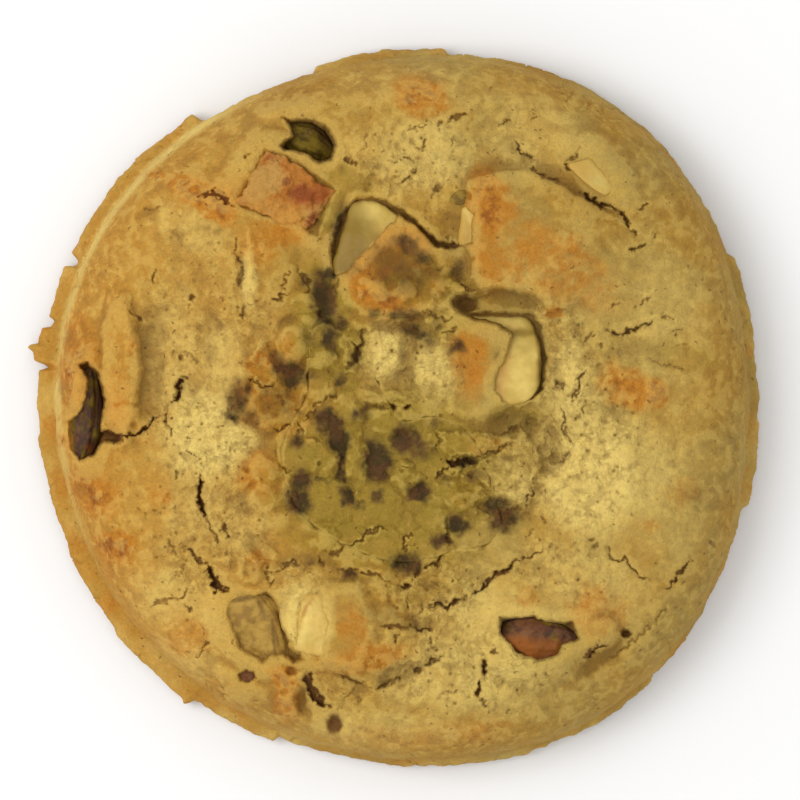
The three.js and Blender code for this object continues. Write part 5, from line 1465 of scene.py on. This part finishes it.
# %% Kernels painted
def kernel_skin():
    """Green kernel under purple-brown skin, then the toasted and dusted parts, and burnt skin with painted
    shadow, by their masks.
    """
    f = Finish("pistachio_skin")
    patch = f.noise(1.8, 4, 0.6)
    green = f.blend(seen(122, 102, 30), seen(84, 66, 26), f.band(patch, 0.4, 0.62))
    skin = f.blend(seen(78, 55, 45), seen(112, 78, 53), f.band(f.noise(1.2, 3), 0.4, 0.6))
    colour = f.blend(green, skin, f.mask("skin"))
    colour = f.blend(colour, seen(150, 88, 36), f.mask("toasted"))
    dust = f.blend(seen(178, 142, 68), seen(146, 112, 54), f.band(patch, 0.4, 0.62))
    colour = f.blend(colour, dust, f.mask("dusted"))
    # Near-black: burnt skin, and painted shadow at the kernels' shaded ends and edges.
    colour = f.blend(colour, seen(58, 34, 26), f.mask("burnt_and_shadow"))
    height = f.sum("ADD", patch, f.sum("MULTIPLY", f.noise(0.5, 3), 0.4))
    dull = {"Specular IOR Level": 0.06, "Subsurface Weight": 0.05, "Subsurface Scale": 0.001}
    return f.done(colour, 0.45, f.bump(height, 0.25), **dull)


KERNEL_TOASTED = [  # at, half axes, turn, strength
    ((15.4, -30), (3, 1.8), -10, 0.9), ((18.6, -29.8), (2.4, 1.2), 0, 0.7), ((-38.3, -4.9), (0.4, 0.5), 0, 1),
    ((16.8, -27), (2.2, 0.9), 0, 0.25), ((-18.7, -33.4), (2, 1.4), 0, 0.25),
]
# Burnt skin, and painted shadow at the dark ends and edges of the kernels where their pockets shade them.
KERNEL_BURNT_AND_SHADOW = [  # at, half axes, turn, strength
    ((-39.8, -3), (2, 3.4), 0, 0.3), ((-19.6, -23.7), (1.7, 0.35), 8, 0.5), ((-17, -24.6), (0.3, 0.9), 20, 0.5),
    ((-15.4, -28.4), (0.22, 2.4), 6, 0.45), ((13.4, -26.8), (1.2, 1.3), 0, 0.6), ((-37, 1), (1, 4), 0, 0.7),
    ((-37.6, -4.6), (1, 1.2), 0, 0.8), ((-8.4, 34), (1.4, 2.6), 30, 0.7), ((-12, -31), (1, 0.8), 0, 0.8),
]
KERNEL_DUSTED = {"pistachio_pale": 0.95, "pistachio_sliver": 0.4}  # crumb over the whole kernel, 0 to 1
skin = kernel_skin()
for node, (size, turn, tilt, share, flat) in KERNELS.items():
    piece, d = kernel(node.replace("pistachio", "kernel"), node, size, turn, tilt, flat)
    p = coordinates(piece)
    flakes = step(rough(d * 2.2 + size[0], 1.0, 3, 151), 0.5 - share * 1.6, 1.1 - share * 1.6)
    paint(piece, "skin", flakes if share > 0 else 0 * flakes)
    paint(piece, "toasted", patches(p[:, :2], KERNEL_TOASTED, 0.5))
    paint(piece, "burnt_and_shadow", patches(p[:, :2], KERNEL_BURNT_AND_SHADOW, 0.5))
    paint(piece, "dusted", np.full(len(p), KERNEL_DUSTED.get(node, 0.0)))
    piece.data.materials.append(skin)
    print(piece.name, "top at", p[:, 2].max().round(1))

# %% [markdown]
# ## Floor, light and camera
# The picture was taken straight from above in soft daylight. A white world gives the soft part,
# and one large lamp at the left, like a window, gives the cracks their shade. A very long lens
# from far off shows hardly any perspective, so places in the picture can be measured.

# %% Floor, light and camera
FLOOR_HALF = 3.0  # metres


def stage_floor():
    """A square pale table under the cookie, which belongs to the stage and not to the part."""
    corners = [[-1, -1, 0], [1, -1, 0], [1, 1, 0], [-1, 1, 0]]
    points = FLOOR_HALF * np.array(corners) / MM
    floor = put("table_top", points, np.array([[0, 1, 2, 3]]))
    f = Finish("pale_table")
    floor.data.materials.append(f.done(seen(245, 245, 245), 0.9))


stage_floor()

scene = bpy.context.scene
scene.view_settings.view_transform = "Standard"
world = bpy.data.worlds.new("studio")
scene.world = world
world.use_nodes = True
world.node_tree.nodes["Background"].inputs["Color"].default_value = (1, 1, 1, 1)
world.node_tree.nodes["Background"].inputs["Strength"].default_value = 1.0


def soft_light(name, place, size, power):
    """A large square lamp that faces the cookie."""
    lamp = bpy.data.lights.new(name, "AREA")
    lamp.size = size
    lamp.energy = power
    holder = bpy.data.objects.new(name, lamp)
    scene.collection.objects.link(holder)
    holder.location = place
    holder.rotation_euler = (-holder.location).to_track_quat("-Z", "Y").to_euler()


soft_light("window", (-0.29, 0.03, 0.50), 0.30, 1.7)

camera = bpy.data.objects.new("camera", bpy.data.cameras.new("camera"))
scene.collection.objects.link(camera)
LENS, SENSOR = 900, 36  # millimetres
SEEN_WIDTH = 0.1  # metres across the picture at the height VIEW_LEVEL
VIEW_MIDDLE, VIEW_LEVEL = (0.375, 1.125), 10.0
camera.data.lens = LENS
camera.data.sensor_width = SENSOR
camera.location = (VIEW_MIDDLE[0] * MM, VIEW_MIDDLE[1] * MM, VIEW_LEVEL * MM + SEEN_WIDTH * LENS / SENSOR)
camera.data.clip_end = 10
scene.camera = camera
print("camera at", [round(v, 4) for v in camera.location])
